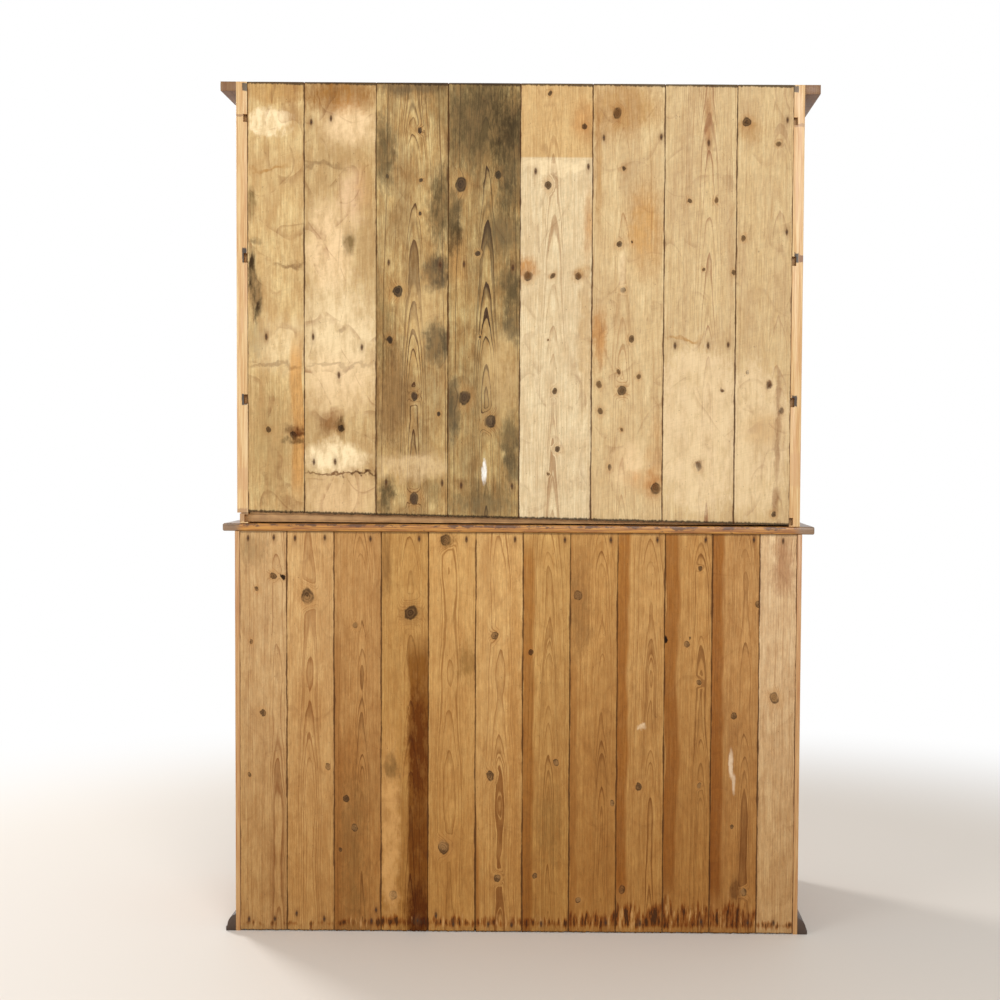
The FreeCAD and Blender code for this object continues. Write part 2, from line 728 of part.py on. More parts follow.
upper_frame_y = (UPPER_FACE, UPPER_FRAME_BACK)
upper_button, upper_screw = turn_button(
    "upper_turn_button_bar", UPPER_FACE, f"{UPPER_OPENING_TOP} + button_height"
)
frieze_blank = face_rail("frieze_blank", UPPER_OPENING, upper_frame_y, (UPPER_OPENING_TOP, "total_height"))
frieze_rail = cut("frieze_rail", frieze_blank, upper_screw)
upper_bottom_rail = face_rail(
    "upper_bottom_rail_bar", UPPER_OPENING, upper_frame_y, ("base_height", UPPER_OPENING_BOTTOM)
)


# ---- doors, each made as the right-hand one of its pair


def hinge_feet(low, high):
    """The heights of a door's two hinges."""
    return (f"({low} + hinge_inset)", f"({high} - hinge_inset - hinge_height)")


def door_hinges(name, opening, face, low, high):
    """The hinges of one door, sorted into fixed leaves, moving leaves and mortise blanks."""
    x = f"({opening} - door_gap / 2)"
    made = [
        butt_hinge(f"{name}_hinge_{count}", x, face, foot)
        for count, foot in enumerate(hinge_feet(low, high), start=1)
    ]
    fixed, moving, blanks = zip(*made)
    return list(fixed), list(moving), list(blanks)


def door_members(name, opening, face, low, high, stile, bottom_rail):
    """Boards for a door's frame: rails with tenons, and plain stiles."""
    inner, outer = "(door_gap / 2)", f"({opening} - door_gap)"
    y = (face, f"{face} + door_thickness")
    rail_x = (f"{inner} + {stile}", f"{outer} - {stile}")
    tenon = ("door_tenon_length", "door_tenon_thickness", "door_tenon_shoulder")
    rails = [
        tenoned(f"{name}_bottom_rail", rail_x, y, (low, f"{low} + {bottom_rail}"), *tenon),
        tenoned(f"{name}_top_rail", rail_x, y, (f"{high} - {stile}", high), *tenon),
    ]
    inner_stile = board(f"{name}_inner_stile", (inner, f"{inner} + {stile}"), y, (low, high))
    outer_stile = board(f"{name}_outer_stile", (f"{outer} - {stile}", outer), y, (low, high))
    return rails, inner_stile, outer_stile


def door_knob(name, face, low, high, stile):
    z = f"{low} + ({high} - {low}) * door_knob_share"
    return knob(f"{name}_knob_turned", f"door_gap / 2 + {stile} / 2", face, z)


def glazed_door():
    """The right upper door: a frame with two panes across and three up, held by halved bars."""
    name, face, stile = "upper_door", UPPER_FACE, "glass_stile"
    low, high = f"({UPPER_OPENING_BOTTOM} + door_gap)", f"({UPPER_OPENING_TOP} - door_gap)"
    rails, inner, outer = door_members(name, UPPER_OPENING, face, low, high, stile, "glass_bottom_rail")
    fixed, moving, blanks = door_hinges(name, UPPER_OPENING, face, low, high)
    turned = door_knob(name, face, low, high, stile)
    columns, rows = 2, 3
    sight_low_x = f"(door_gap / 2 + {stile})"
    sight_low_z = f"({low} + glass_bottom_rail)"
    wide = f"(({UPPER_OPENING} - 3 / 2 * door_gap - 2 * {stile} - glazing_bar) / {columns})"
    tall = f"(({high} - {low} - {stile} - glass_bottom_rail - {rows - 1} * glazing_bar) / {rows})"
    sight_high_x = f"({sight_low_x} + {columns} * {wide} + glazing_bar)"
    sight_high_z = f"({sight_low_z} + {rows} * {tall} + {rows - 1} * glazing_bar)"
    y = (face, f"{face} + door_thickness")
    mid_y = f"({face} + door_thickness / 2)"
    seat = f"({face} + door_thickness - glazing_rebate_depth)"
    upright_x = (f"{sight_low_x} + {wide}", f"{sight_low_x} + {wide} + glazing_bar")
    upright_z = (f"{sight_low_z} - stub_tenon", f"{sight_high_z} + stub_tenon")
    upright = board("glazing_upright", upright_x, y, upright_z)
    crossings, bars = [], []
    for row in range(1, rows):
        bar_low = f"({sight_low_z} + {row} * {tall} + {row - 1} * glazing_bar)"
        z = (bar_low, f"{bar_low} + glazing_bar")
        ends = (f"{sight_low_x} - stub_tenon", f"{sight_high_x} + stub_tenon")
        bars.append(board(f"glazing_bar_{row}", ends, y, z))
        crossings.append(board(f"glazing_crossing_{row}", upright_x, (mid_y, y[1]), z))
    upright = cut("glazing_upright_halved", upright, *crossings)
    bars = [cut(f"{bar.Name}_halved", bar, upright) for bar in bars]
    voids, panes = [], []
    for column in range(columns):
        for row in range(rows):
            pane = f"pane_{column + 1}_{row + 1}"
            x = f"({sight_low_x} + {column} * ({wide} + glazing_bar))"
            z = f"({sight_low_z} + {row} * ({tall} + glazing_bar))"
            flare = doc.addObject("Part::Wedge", f"{pane}_flare")
            flare.Ymin = flare.X2min = flare.Z2min = 0
            for corner, text in (
                ("Xmin", "-glazing_chamfer"),
                ("Xmax", f"{wide} + glazing_chamfer"),
                ("Zmin", "-glazing_chamfer"),
                ("Zmax", f"{tall} + glazing_chamfer"),
                ("Ymax", "glazing_chamfer"),
                ("X2max", wide),
                ("Z2max", tall),
            ):
                bind(flare, corner, text)
            place(flare, x, face, z)
            margin = "glazing_rebate"
            rebate_x = (f"{x} - {margin}", f"{x} + {wide} + {margin}")
            rebate_z = (f"{z} - {margin}", f"{z} + {tall} + {margin}")
            rebate = board(f"{pane}_rebate", rebate_x, (seat, y[1]), rebate_z)
            margin = "(glazing_rebate - pane_clearance)"
            glass_x = (f"{x} - {margin}", f"{x} + {wide} + {margin}")
            glass_z = (f"{z} - {margin}", f"{z} + {tall} + {margin}")
            panes.append(board(pane, glass_x, (seat, f"{seat} + pane_thickness"), glass_z))
            voids += [flare, rebate]
    voids = together("glazing_voids", voids)
    inner = cut("upper_inner_stile_cut", inner, fused("upper_inner_joints", *rails, *bars))
    outer = cut(
        "upper_outer_stile_cut",
        outer,
        fused("upper_outer_joints", *rails, *bars),
        *[blank[1] for blank in blanks],
    )
    rails = [cut(f"{rail.Name}_mortised", rail, upright) for rail in rails]
    members = [cut(f"{piece.Name}_glazed", piece, voids) for piece in (inner, outer, *rails, upright, *bars)]
    return {
        "frame": [*members, turned],
        "panes": panes,
        "hinge_leaves": moving,
        "fixed": fixed,
        "mortises": [blank[0] for blank in blanks],
    }


def panelled_door():
    """The right lower door: a grooved frame round one raised and fielded panel."""
    name, face, stile = "lower_door", BASE_FACE, "panel_stile"
    low, high = "(base_bottom_rail + door_gap)", f"({DRAWER_RAIL_BOTTOM} - door_gap)"
    rails, inner, outer = door_members(name, BASE_OPENING, face, low, high, stile, "panel_bottom_rail")
    fixed, moving, blanks = door_hinges(name, BASE_OPENING, face, low, high)
    turned = door_knob(name, face, low, high, stile)
    sight_x = (f"(door_gap / 2 + {stile})", f"({BASE_OPENING} - door_gap - {stile})")
    sight_z = (f"({low} + panel_bottom_rail)", f"({high} - {stile})")
    middle = f"({face} + door_thickness / 2)"

    def grown(span, margin):
        return (f"{span[0]} - {margin}", f"{span[1]} + {margin}")

    half_groove = "(panel_groove_width / 2)"
    groove_y = (f"{middle} - {half_groove}", f"{middle} + {half_groove}")
    groove = board("panel_void", grown(sight_x, "panel_groove"), groove_y, grown(sight_z, "panel_groove"))
    edge = "(panel_groove - panel_shrinkage)"
    tongue_half = f"({half_groove} - panel_clearance)"
    tongue_y = (f"{middle} - {tongue_half}", f"{middle} + {tongue_half}")
    plate = board("panel_plate", grown(sight_x, edge), tongue_y, grown(sight_z, edge))
    wide, tall = f"({sight_x[1]} - {sight_x[0]})", f"({sight_z[1]} - {sight_z[0]})"
    bevel = doc.addObject("Part::Wedge", "panel_bevel_piece")
    bevel.Ymin = 0
    for corner, text in (
        ("Xmin", "panel_bevel"),
        ("Zmin", "panel_bevel"),
        ("Xmax", f"{wide} - panel_bevel"),
        ("Zmax", f"{tall} - panel_bevel"),
        ("Ymax", "panel_raise"),
        ("X2min", "panel_clearance"),
        ("Z2min", "panel_clearance"),
        ("X2max", f"{wide} - panel_clearance"),
        ("Z2max", f"{tall} - panel_clearance"),
    ):
        bind(bevel, corner, text)
    raised = f"({middle} - {tongue_half} - panel_raise)"
    place(bevel, sight_x[0], raised, sight_z[0])
    field = board(
        "panel_field_piece",
        grown(sight_x, "(-panel_bevel - panel_field)"),
        (f"{raised} - panel_field", raised),
        grown(sight_z, "(-panel_bevel - panel_field)"),
    )
    panel = fused("panel", plate, bevel, field)
    joints = fused("lower_door_joints", groove, *rails)
    inner = cut("lower_inner_stile_cut", inner, joints)
    outer = cut("lower_outer_stile_cut", outer, joints, *[blank[1] for blank in blanks])
    rails = [cut(f"{rail.Name}_grooved", rail, groove) for rail in rails]
    return {
        "frame": [inner, outer, *rails, turned],
        "panel": [panel],
        "hinge_leaves": moving,
        "fixed": fixed,
        "mortises": [blank[0] for blank in blanks],
    }


# ---- drawers, made as the right-hand one


def dovetail_gaps(end, baseline):
    """The outlines of the gaps between the tails at one end of a drawer's side, seen from its face.

    They are narrow at the side's end and wide at the baseline, and those at the corners reach past
    the board.
    """
    count = int(value("dovetail_count"))
    outlines = []
    for number in range(count + 1):
        middle = f"({DRAWER_LOW} + {number} * ({DRAWER_SIDE_TOP} - {DRAWER_LOW}) / {count})"
        narrow = "dovetail_pin"
        wide = f"(dovetail_pin + dovetail_slope * abs(({baseline}) - ({end})))"
        outlines.append(
            [
                (end, f"{middle} - {narrow}"),
                (end, f"{middle} + {narrow}"),
                (baseline, f"{middle} + {wide}"),
                (baseline, f"{middle} - {wide}"),
            ]
        )
    return outlines


def drawer_side_board(name, x):
    """A side of a drawer with tails cut at both ends, its low face at x."""
    front = f"({BASE_FACE} + drawer_lap)"
    back = f"({front} + drawer_length)"
    outline = [
        (front, DRAWER_LOW),
        (back, DRAWER_LOW),
        (back, DRAWER_SIDE_TOP),
        (front, DRAWER_SIDE_TOP),
    ]
    body = profile(name, YZ, outline, "drawer_side", x=x)
    whole = value(f"drawer_length * drawer_side * ({DRAWER_SIDE_TOP} - {DRAWER_LOW})")
    for end_name, end, baseline in (
        ("front", front, f"({BASE_FACE} + drawer_front)"),
        ("back", back, f"({back} - drawer_side)"),
    ):
        sketch = sketch_in(body, f"{name}_{end_name}_gaps", YZ, *dovetail_gaps(end, baseline))
        pocket = body.newObject("PartDesign::Pocket", f"{name}_{end_name}_tails")
        pocket.Profile = sketch
        pocket.Type = "ThroughAll"
        pocket.SideType = "Symmetric"
        body.Tip = pocket
    doc.recompute()
    if not 0.9 * whole < body.Shape.Volume < whole:
        raise RuntimeError(f"{name}: the dovetails weren't cut")
    return body


def drawer():
    """The right drawer: half-blind dovetails at the front, through dovetails at the back."""
    inner, outer = f"({divider_half} + drawer_gap)", f"({BASE_OPENING} - drawer_gap)"
    side_back = f"({BASE_FACE} + drawer_lap + drawer_length)"
    sides = [
        drawer_side_board("drawer_inner_side", inner),
        drawer_side_board("drawer_outer_side", f"({outer} - drawer_side)"),
    ]
    front = board(
        "drawer_front_blank",
        (inner, outer),
        (BASE_FACE, f"{BASE_FACE} + drawer_front"),
        (f"{DRAWER_RAIL_TOP} + drawer_gap", f"{DRAWER_TOP} - drawer_gap"),
    )
    bottom_low = f"({DRAWER_LOW} + drawer_bottom_height)"
    bottom_high = f"({bottom_low} + drawer_bottom)"
    room = "drawer_groove_clearance"
    reach = "(drawer_side - drawer_groove)"
    front_reach = f"({BASE_FACE} + drawer_front - drawer_groove)"
    bottom = board(
        "drawer_bottom_board",
        (f"{inner} + {reach} + {room}", f"{outer} - {reach} - {room}"),
        (f"{front_reach} + {room}", f"{side_back} - {room}"),
        (bottom_low, bottom_high),
    )
    groove = board(
        "drawer_bottom_groove",
        (f"{inner} + {reach}", f"{outer} - {reach}"),
        (front_reach, side_back),
        (f"{bottom_low} - {room}", f"{bottom_high} + {room}"),
    )
    back = board(
        "drawer_back_blank",
        (inner, outer),
        (f"{side_back} - drawer_side", side_back),
        (f"{bottom_high} + {room}", DRAWER_SIDE_TOP),
    )
    z = f"({DRAWER_RAIL_TOP} + {DRAWER_TOP}) / 2"
    knobs = [
        knob("drawer_inner_knob", f"{inner} + drawer_knob_place", BASE_FACE, z),
        knob("drawer_outer_knob", f"{outer} - drawer_knob_place", BASE_FACE, z),
    ]
    back = cut("drawer_back_piece", back, *sides)
    front = cut("drawer_front_piece", front, groove, *sides)
    sides = [cut(f"{side.Name}_grooved", side, groove) for side in sides]
    return {"front": [front, *knobs], "box": [*sides, back], "bottom": [bottom]}


# ---- assembly: every sub-part gets the name of its file


def pair(name, piece):
    """A right-hand piece and its mirror image, as two sub-parts."""
    node(piece, f"{name}_right")
    node(mirrored(f"{name}_mirrored", piece), f"{name}_left")


def both(name, pieces):
    """Right-hand pieces and their mirror images, as one sub-part."""
    left = [mirrored(f"{piece.Name}_mirrored", piece) for piece in pieces]
    node(together(f"{name}_group", [*pieces, *left]), name)


def moving_pair(name, parts, wanted):
    """A right-hand moving assembly and its mirror image, one sub-part for each kind of piece."""
    for part in wanted:
        pieces = parts[part]
        right = pieces[0] if len(pieces) == 1 else together(f"{name}_{part}_group", pieces)
        node(right, f"{name}_right_{part}")
        node(mirrored(f"{name}_{part}_mirrored", right), f"{name}_left_{part}")


upper = glazed_door()
lower = panelled_door()

base_stile = board(
    "base_stile_blank", (BASE_OPENING, BASE_OUTSIDE), base_frame_y, ("0", SLAB_UNDERSIDE)
)
base_stile = cut("base_stile_piece", base_stile, *base_rails, *lower["mortises"])
upper_stile = board(
    "upper_stile_blank", (UPPER_OPENING, UPPER_OUTSIDE), upper_frame_y, ("base_height", "total_height")
)
upper_stile = cut("upper_stile_piece", upper_stile, frieze_rail, upper_bottom_rail, *upper["mortises"])

pair("lower_side", base_side_right)
node(base_bottom, "lower_bottom_board")
node(base_shelf, "lower_shelf")
both("lower_stiles", [base_stile])
for name, rail in zip(("lower_top_rail", "drawer_rail", "lower_bottom_rail"), base_rails):
    node(rail, name)
node(divider, "drawer_divider")
drawer_rails()
node(together("back_rails", back_rails), "lower_back_rails")
node(together("base_back_boards", base_back_boards()), "lower_back_boards")
node(slab, "base_top")
node(plinth_piece("front"), "plinth_front")
both("plinth_returns", [plinth_piece("return")])

pair("upper_side", upper_side_right)
node(upper_top, "upper_top_board")
node(upper_bottom, "upper_bottom_board")
node(low_shelf, "upper_low_shelf")
node(high_shelf, "upper_high_shelf")
both("upper_stiles", [upper_stile])
node(frieze_rail, "upper_frieze_rail")
node(upper_bottom_rail, "upper_bottom_rail")
node(cornice_piece("front"), "cornice_front")
both("cornice_returns", [cornice_piece("return")])
for number, piece in enumerate(upper_back_boards(), start=1):
    node(piece, f"upper_back_board_{number}")

both("hinge_fixed_leaves", upper["fixed"] + lower["fixed"])
node(together("screws", [upper_screw, lower_screw]), "turn_button_screws")
moving_pair("upper_door", upper, ("frame", "panes", "hinge_leaves"))
moving_pair("lower_door", lower, ("frame", "panel", "hinge_leaves"))
moving_pair("drawer", drawer(), ("front", "box", "bottom"))
node(upper_button, "upper_turn_button")
node(lower_button, "lower_turn_button")

doc.recompute()

# ---- checks and files

for thing in doc.Objects:
    if "Invalid" in thing.State or "Error" in thing.State:
        raise RuntimeError(f"{thing.Name}: {thing.State}")
os.makedirs("parts", exist_ok=True)
for thing in nodes:
    if thing.Shape.isNull() or not thing.Shape.isValid() or not thing.Shape.Solids:
        raise RuntimeError(f"{thing.Label}: no valid shape")
for thing in nodes:
    thing.Shape.exportStep(f"parts/{thing.Label}.step")
print(f"{len(nodes)} sub-parts, {sum(len(thing.Shape.Solids) for thing in nodes)} solids")
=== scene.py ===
# %% [markdown]
# # A step back cupboard of old pine
#
# The cupboard stands in two parts: a shallow glazed case on a deeper base with drawers and
# panelled doors. The construction is already there as named solids, so this script only gives
# it its looks. Everything is in metres and stays where the solids are. The first cell brings
# them in and keeps the box round them, which the last cell prints beside the box of the
# finished pieces. Places are written in millimetres, as a joiner would, and BACK is where the
# back's outer face lies. The noise that moves points has a fixed seed, so that every run makes
# the same pieces.

# %% Bring in the construction
import math

import bmesh
import bpy
from mathutils import Matrix, Vector, noise


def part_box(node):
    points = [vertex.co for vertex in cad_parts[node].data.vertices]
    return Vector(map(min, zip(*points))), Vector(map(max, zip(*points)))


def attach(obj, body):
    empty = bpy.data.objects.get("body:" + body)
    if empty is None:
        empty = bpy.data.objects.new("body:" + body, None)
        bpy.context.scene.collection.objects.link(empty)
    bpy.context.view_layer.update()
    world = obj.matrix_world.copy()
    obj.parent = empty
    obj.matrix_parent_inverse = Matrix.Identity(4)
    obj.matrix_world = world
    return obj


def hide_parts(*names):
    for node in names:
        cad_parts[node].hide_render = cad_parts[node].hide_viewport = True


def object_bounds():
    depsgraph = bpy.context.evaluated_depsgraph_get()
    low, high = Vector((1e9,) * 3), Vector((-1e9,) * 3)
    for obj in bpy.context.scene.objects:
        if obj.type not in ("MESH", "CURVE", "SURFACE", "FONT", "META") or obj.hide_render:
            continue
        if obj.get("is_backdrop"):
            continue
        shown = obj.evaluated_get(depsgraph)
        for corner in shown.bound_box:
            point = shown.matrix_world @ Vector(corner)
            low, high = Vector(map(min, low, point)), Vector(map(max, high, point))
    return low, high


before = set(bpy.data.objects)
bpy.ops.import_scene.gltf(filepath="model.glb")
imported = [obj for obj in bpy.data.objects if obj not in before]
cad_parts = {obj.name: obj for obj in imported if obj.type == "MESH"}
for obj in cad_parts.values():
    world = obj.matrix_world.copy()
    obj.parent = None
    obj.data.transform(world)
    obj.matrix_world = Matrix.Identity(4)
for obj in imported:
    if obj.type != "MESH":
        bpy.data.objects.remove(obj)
solid_box = [list(corner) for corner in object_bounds()]
noise.seed_set(1)
MM = 0.001
X, Y, Z = 0, 1, 2
BACK = 252.0

# %% [markdown]
# ## Values on their way through a material
#
# A material is a sum over a surface: where a point is, how late in its year the wood there
# grew, how far the nearest knot is. Written with nodes one by one such a sum is long, so a
# small class wraps a socket and lets Python's own signs add the Math nodes.

# %% A value that flows


class Flow:
    """A value that flows through a node tree. Arithmetic on it adds Math nodes."""

    def __init__(self, nodes, socket):
        self.nodes, self.socket = nodes, socket

    def math(self, operation, *others):
        return self.nodes.add("ShaderNodeMath", {"operation": operation}, (self, *others))

    def __add__(self, other):
        return self.math("ADD", other)

    def __sub__(self, other):
        return self.math("SUBTRACT", other)

    def __rsub__(self, other):
        return self.nodes.add("ShaderNodeMath", {"operation": "SUBTRACT"}, (other, self))

    def __mul__(self, other):
        return self.math("MULTIPLY", other)

    def __truediv__(self, other):
        return self.math("DIVIDE", other)

    def __abs__(self):
        return self.math("ABSOLUTE")

    __radd__, __rmul__ = __add__, __mul__

    def out(self, name):
        """Another output of the node that this value comes from."""
        return Flow(self.nodes, self.socket.node.outputs[name])

    def between(self, start, end, low=0.0, high=1.0):
        """Goes smoothly from low to high while the value goes from start to end."""
        settings = {"interpolation_type": "SMOOTHSTEP"}
        return self.nodes.add("ShaderNodeMapRange", settings, (self, start, end, low, high))


print("a value knows", [name for name in vars(Flow) if not name.startswith("_")])

# %% [markdown]
# ## A tree of nodes, and a finish
#
# The second class owns the nodes: every node of every finish comes from its one method, which
# takes a type, the settings and the sockets. The rest of it are short names for what wood
# needs often: where a point is, smooth noise, and the distance between two points. A finish is
# such a tree with a Principled shader at its end. It remembers its colour so far, so that
# paint can lay the next layer over it, as a brush would.

# %% The nodes of a finish


class Nodes:
    """A node tree that starts empty."""

    def __init__(self, tree):
        self.tree = tree
        tree.nodes.clear()

    def fill(self, node, sockets):
        """Sets or links the sockets of a node, which are given by name or in order."""
        pairs = sockets.items() if isinstance(sockets, dict) else enumerate(sockets)
        for key, given in pairs:
            if isinstance(given, Flow):
                self.tree.links.new(given.socket, node.inputs[key])
            else:
                node.inputs[key].default_value = given

    def add(self, kind, settings, sockets, out=0):
        """Adds a node: its type, its settings, and the values or links of its sockets."""
        node = self.tree.nodes.new(kind)
        for name, setting in settings.items():
            setattr(node, name, setting)
        self.fill(node, sockets)
        return Flow(self, node.outputs[out]) if node.outputs else None

    def point(self, x, y, z):
        return self.add("ShaderNodeCombineXYZ", {}, (x, y, z))

    def split(self, vector):
        """The three parts of a point, each as a value of its own."""
        parts = self.add("ShaderNodeSeparateXYZ", {}, (vector,))
        return parts, parts.out("Y"), parts.out("Z")

    def place(self):
        """Where a point is in the room, across, in depth and up."""
        return self.split(self.add("ShaderNodeTexCoord", {}, (), "Object"))

    def read(self, name, out="Vector"):
        """What a piece carries under a name for each of its points."""
        return self.add("ShaderNodeAttribute", {"attribute_name": name}, (), out)

    def vectors(self, operation, *points, out="Vector"):
        return self.add("ShaderNodeVectorMath", {"operation": operation}, points, out)

    def gap(self, one, other):
        """The distance between two points."""
        return self.vectors("DISTANCE", one, other, out="Value")

    def cloud(self, x, y, z, detail=2.0, roughness=0.5, out="Fac"):
        """Smooth noise over a point, about 0 to 1."""
        sockets = {"Vector": self.point(x, y, z), "Scale": 1.0, "Detail": detail, "Roughness": roughness}
        return self.add("ShaderNodeTexNoise", {}, sockets, out)

    def mix(self, share, under, over, blend="MIX"):
        """Lays one colour over another by a share of 0 to 1."""
        settings = {"data_type": "RGBA", "blend_type": blend}
        return self.add("ShaderNodeMix", settings, {0: share, 6: under, 7: over}, 2)


class Finish(Nodes):
    """One material, built from a Principled shader outwards."""

    def __init__(self, name):
        self.material = bpy.data.materials.new(name)
        self.material.use_nodes = True
        super().__init__(self.material.node_tree)
        self.shader = self.add("ShaderNodeBsdfPrincipled", {}, ())
        self.add("ShaderNodeOutputMaterial", {}, (self.shader,))
        self.colour = None

    def paint(self, share, over, blend="MIX"):
        """Lays one more layer over the finish's colour so far."""
        self.colour = self.mix(share, self.colour, over, blend)

    def wear(self, sockets):
        """Sets the shader's own sockets."""
        self.fill(self.shader.socket.node, sockets)


def shade(red, green, blue):
    """A colour as a colour picker gives it, 0 to 255, made linear for the shader."""
    parts = []
    for part in (red / 255, green / 255, blue / 255):
        parts.append(part / 12.92 if part <= 0.04045 else ((part + 0.055) / 1.055) ** 2.4)
    return (*parts, 1.0)


WHITE = shade(255, 255, 255)
print("a middling pine", [round(part, 3) for part in shade(205, 165, 112)])

# %% [markdown]
# ## How pine gets its figure
#
# A plank is a flat slice of a trunk, and its figure is where the year rings come out at the
# surface. So the rings are worked out as they grew: the distance of a point from the pith,
# which lies some way behind the board and drifts along it. Near the middle of the board that
# gives the pointed arches of flat-sawn wood, to the sides the straight lines, and on an end
# the arcs. Late wood is dark and stops sharply, and no year is as strong as the next.

# %% Year rings
ONE_WAY = {"noise_dimensions": "1D"}


def year_lines(finish, across, depth, along, pith, ring, lift):
    """How dark the late wood of the rings is at a point, 0 to about 1.

    pith is how far the pith lies to the side, how deep, how it drifts along the board and how
    much it wanders. ring is a year's growth, and lift is how far knots push the rings aside,
    all in metres.
    """
    side, deep, drift, wander = pith
    sway, rise, _ = finish.split(finish.cloud(across * 5, depth * 5, along * 3.4, 1.5, 0.45, "Color"))
    quick = finish.cloud(across * 46, depth * 46, along * 13) - 0.5
    sideways = across - side + (sway - 0.5) * (wander * 1.4)
    inwards = depth + deep + along * drift + (rise - 0.5) * (wander * 2.6)
    radius = (sideways * sideways + inwards * inwards).math("SQRT") + quick * (ring * 0.55) + lift
    uneven = finish.add("ShaderNodeTexNoise", ONE_WAY, {"W": radius * 55, "Detail": 1.0})
    year = radius / ring + uneven * 2.2
    strength = finish.add("ShaderNodeTexWhiteNoise", ONE_WAY, {"W": year.math("FLOOR")})
    late = year.math("FRACT")
    dark = late.between(0.42, 0.93) * late.between(1.0, 0.955)
    return dark * (dark * 0.6 + 0.4) * (strength * 0.7 + 0.3)


print("year rings take", year_lines.__code__.co_argcount, "values")

# %% [markdown]
# ## Knots
#
# A knot is where a branch left the trunk. It pushes the rings aside, so each knot adds a
# smooth hump to their distance. Seen from the front it is a brown heart with rings of its own,
# a rim of bark that is broken in places, and a warm halo in the wood round it.

# %% Knots in the wood
SQUAT = 0.82
HUMP_REACH = 2.8


def knot_field(finish, across, along, places):
    """The nearest knot's distance in its own radii, and the hump that knots raise in the rings."""
    flat = finish.point(across, along * SQUAT, 0.0)
    nearest, hump = None, None
    for x, z, radius in places:
        gap = finish.gap(flat, (x * MM, z * MM * SQUAT, 0.0))
        push = gap.between(radius * HUMP_REACH * MM, 0.0, 0.0, radius * MM)
        share = gap / (radius * MM)
        hump = push if hump is None else hump + push
        nearest = share if nearest is None else nearest.math("MINIMUM", share)
    return nearest, hump


def paint_knots(finish, nearest, heart, rim, broken):
    """Paints knots over the wood: a halo, a ringed heart and a rim that is broken in places."""
    finish.paint(nearest.between(2.9, 0.9, 0.0, 0.34), shade(172, 122, 68))
    turned = (nearest * 3.1 + broken).math("FRACT").between(0.35, 0.95, 0.0, 0.55)
    inside = finish.mix((broken.between(0.42, 0.62) * 0.8 + turned).math("MINIMUM", 1.0), heart, rim)
    soft = nearest + (broken - 0.5) * 0.7
    finish.paint(soft.between(1.3, 0.5, 0.0, 0.94), inside)
    ring = abs(soft - 0.9).between(0.24, 0.03, 0.0, 0.8)
    finish.paint(ring * broken.between(0.3, 0.52), rim)


print("a knot of 8 mm bends the rings out to", 8 * HUMP_REACH, "mm")

# %% [markdown]
# ## The sawn boards of the two backs
#
# Nobody planed the backs: they were meant to stand against a wall. Every board has its own
# figure, knots, nails and stains, so each one gets its own finish. All its marks read the same
# few values, such as grit and mottling, so a finish of its own kind keeps them. Stains and
# dirt reach only a few millimetres in, so that the inside of the cupboard stays clean.

# %% What a board's marks share


class SawnBoard(Finish):
    """The finish of one sawn board, with the values that all its marks read."""

    def __init__(self, name, x_range):
        super().__init__(name)
        self.x, self.y, self.z = x, y, z = self.place()
        self.middle, self.half = sum(x_range) / 2 * MM, (x_range[1] - x_range[0]) / 2 * MM
        self.across, self.depth = x - self.middle, BACK * MM - y
        self.outside = self.depth.between(0.007, 0.003)
        self.warp = self.split(self.cloud(x * 26, y * 26, z * 26, 3.0, 0.6, "Color"))
        self.grit = self.cloud(x * 170, y * 60, z * 44, 5.0, 0.74) - 0.5
        self.mottle = self.cloud(x * 52, y * 30 + self.middle * 50, z * 19, 5.0, 0.68)

    def figure(self, tone, late, pith, ring, line, level, knots, **_):
        """Year rings bent round the knots, late wood on early wood. Sizes are in millimetres."""
        near_x = self.x + (self.warp[0] - 0.5) * 0.015 + self.grit * 0.008
        self.nearest, hump = knot_field(self, near_x, self.z + (self.warp[1] - 0.5) * 0.017, knots)
        side, deep, drift, wander = pith
        pith = (side * MM, deep * MM, drift, wander * MM)
        along = self.z - level * MM
        self.lines = year_lines(self, self.across, self.depth, along, pith, ring * MM, hump)
        faint = self.cloud(self.x * 9, 5.0, self.z * 7).between(0.3, 0.6, 0.62, 1.0)
        flat = abs(self.across - side * MM).between(0.034, 0.004, 0.55, 1.25)
        self.colour = self.mix(self.lines * faint * flat * line, tone, late)

    def roughen(self, tone, late, mottle, grit, blotch, heart, rim, fade=None, **_):
        """Fibres, the unevenness of wood that was never planed, its age, and its knots."""
        x, y, z = self.x, self.y, self.z
        self.fibre = self.cloud(x * 620, y * 620, z * 14, 2.0, 0.6)
        self.strand = self.cloud(x * 210, y * 210, z * 5, 3.0, 0.7)
        uneven = self.fibre.between(0.3, 0.7, 0.9, 1.05)
        uneven = uneven * self.strand.between(0.3, 0.7, 0.96 - mottle * 0.4, 1.04)
        uneven = uneven * self.mottle.between(0.3, 0.7, 1 - mottle, 1 + mottle * 0.5)
        warm = self.point(uneven, uneven * uneven.math("SQRT"), uneven * uneven)
        self.paint(1.0, warm, "MULTIPLY")
        fine = self.grit * grit + 1.0
        self.paint(1.0, self.point(fine, fine, fine), "MULTIPLY")
        self.paint(self.cloud(x * 16 + 7.0, y * 9, z * 5, 3.0, 0.55).between(0.38, 0.7, 0.0, blotch), late)
        low_tone, start, end, share = fade or (tone, 1, 0, 0.0)
        self.paint(z.between(start * MM, end * MM, 0.0, share), low_tone, "MULTIPLY")
        paint_knots(self, self.nearest, heart, rim, self.warp[2] + self.grit * 0.5)

    def soak(self, share, tone, blend="MIX"):
        """Paints only the outer few millimetres of the board."""
        self.paint(share * self.outside, tone, blend)


print("a sawn board reads its figure, then its roughness")

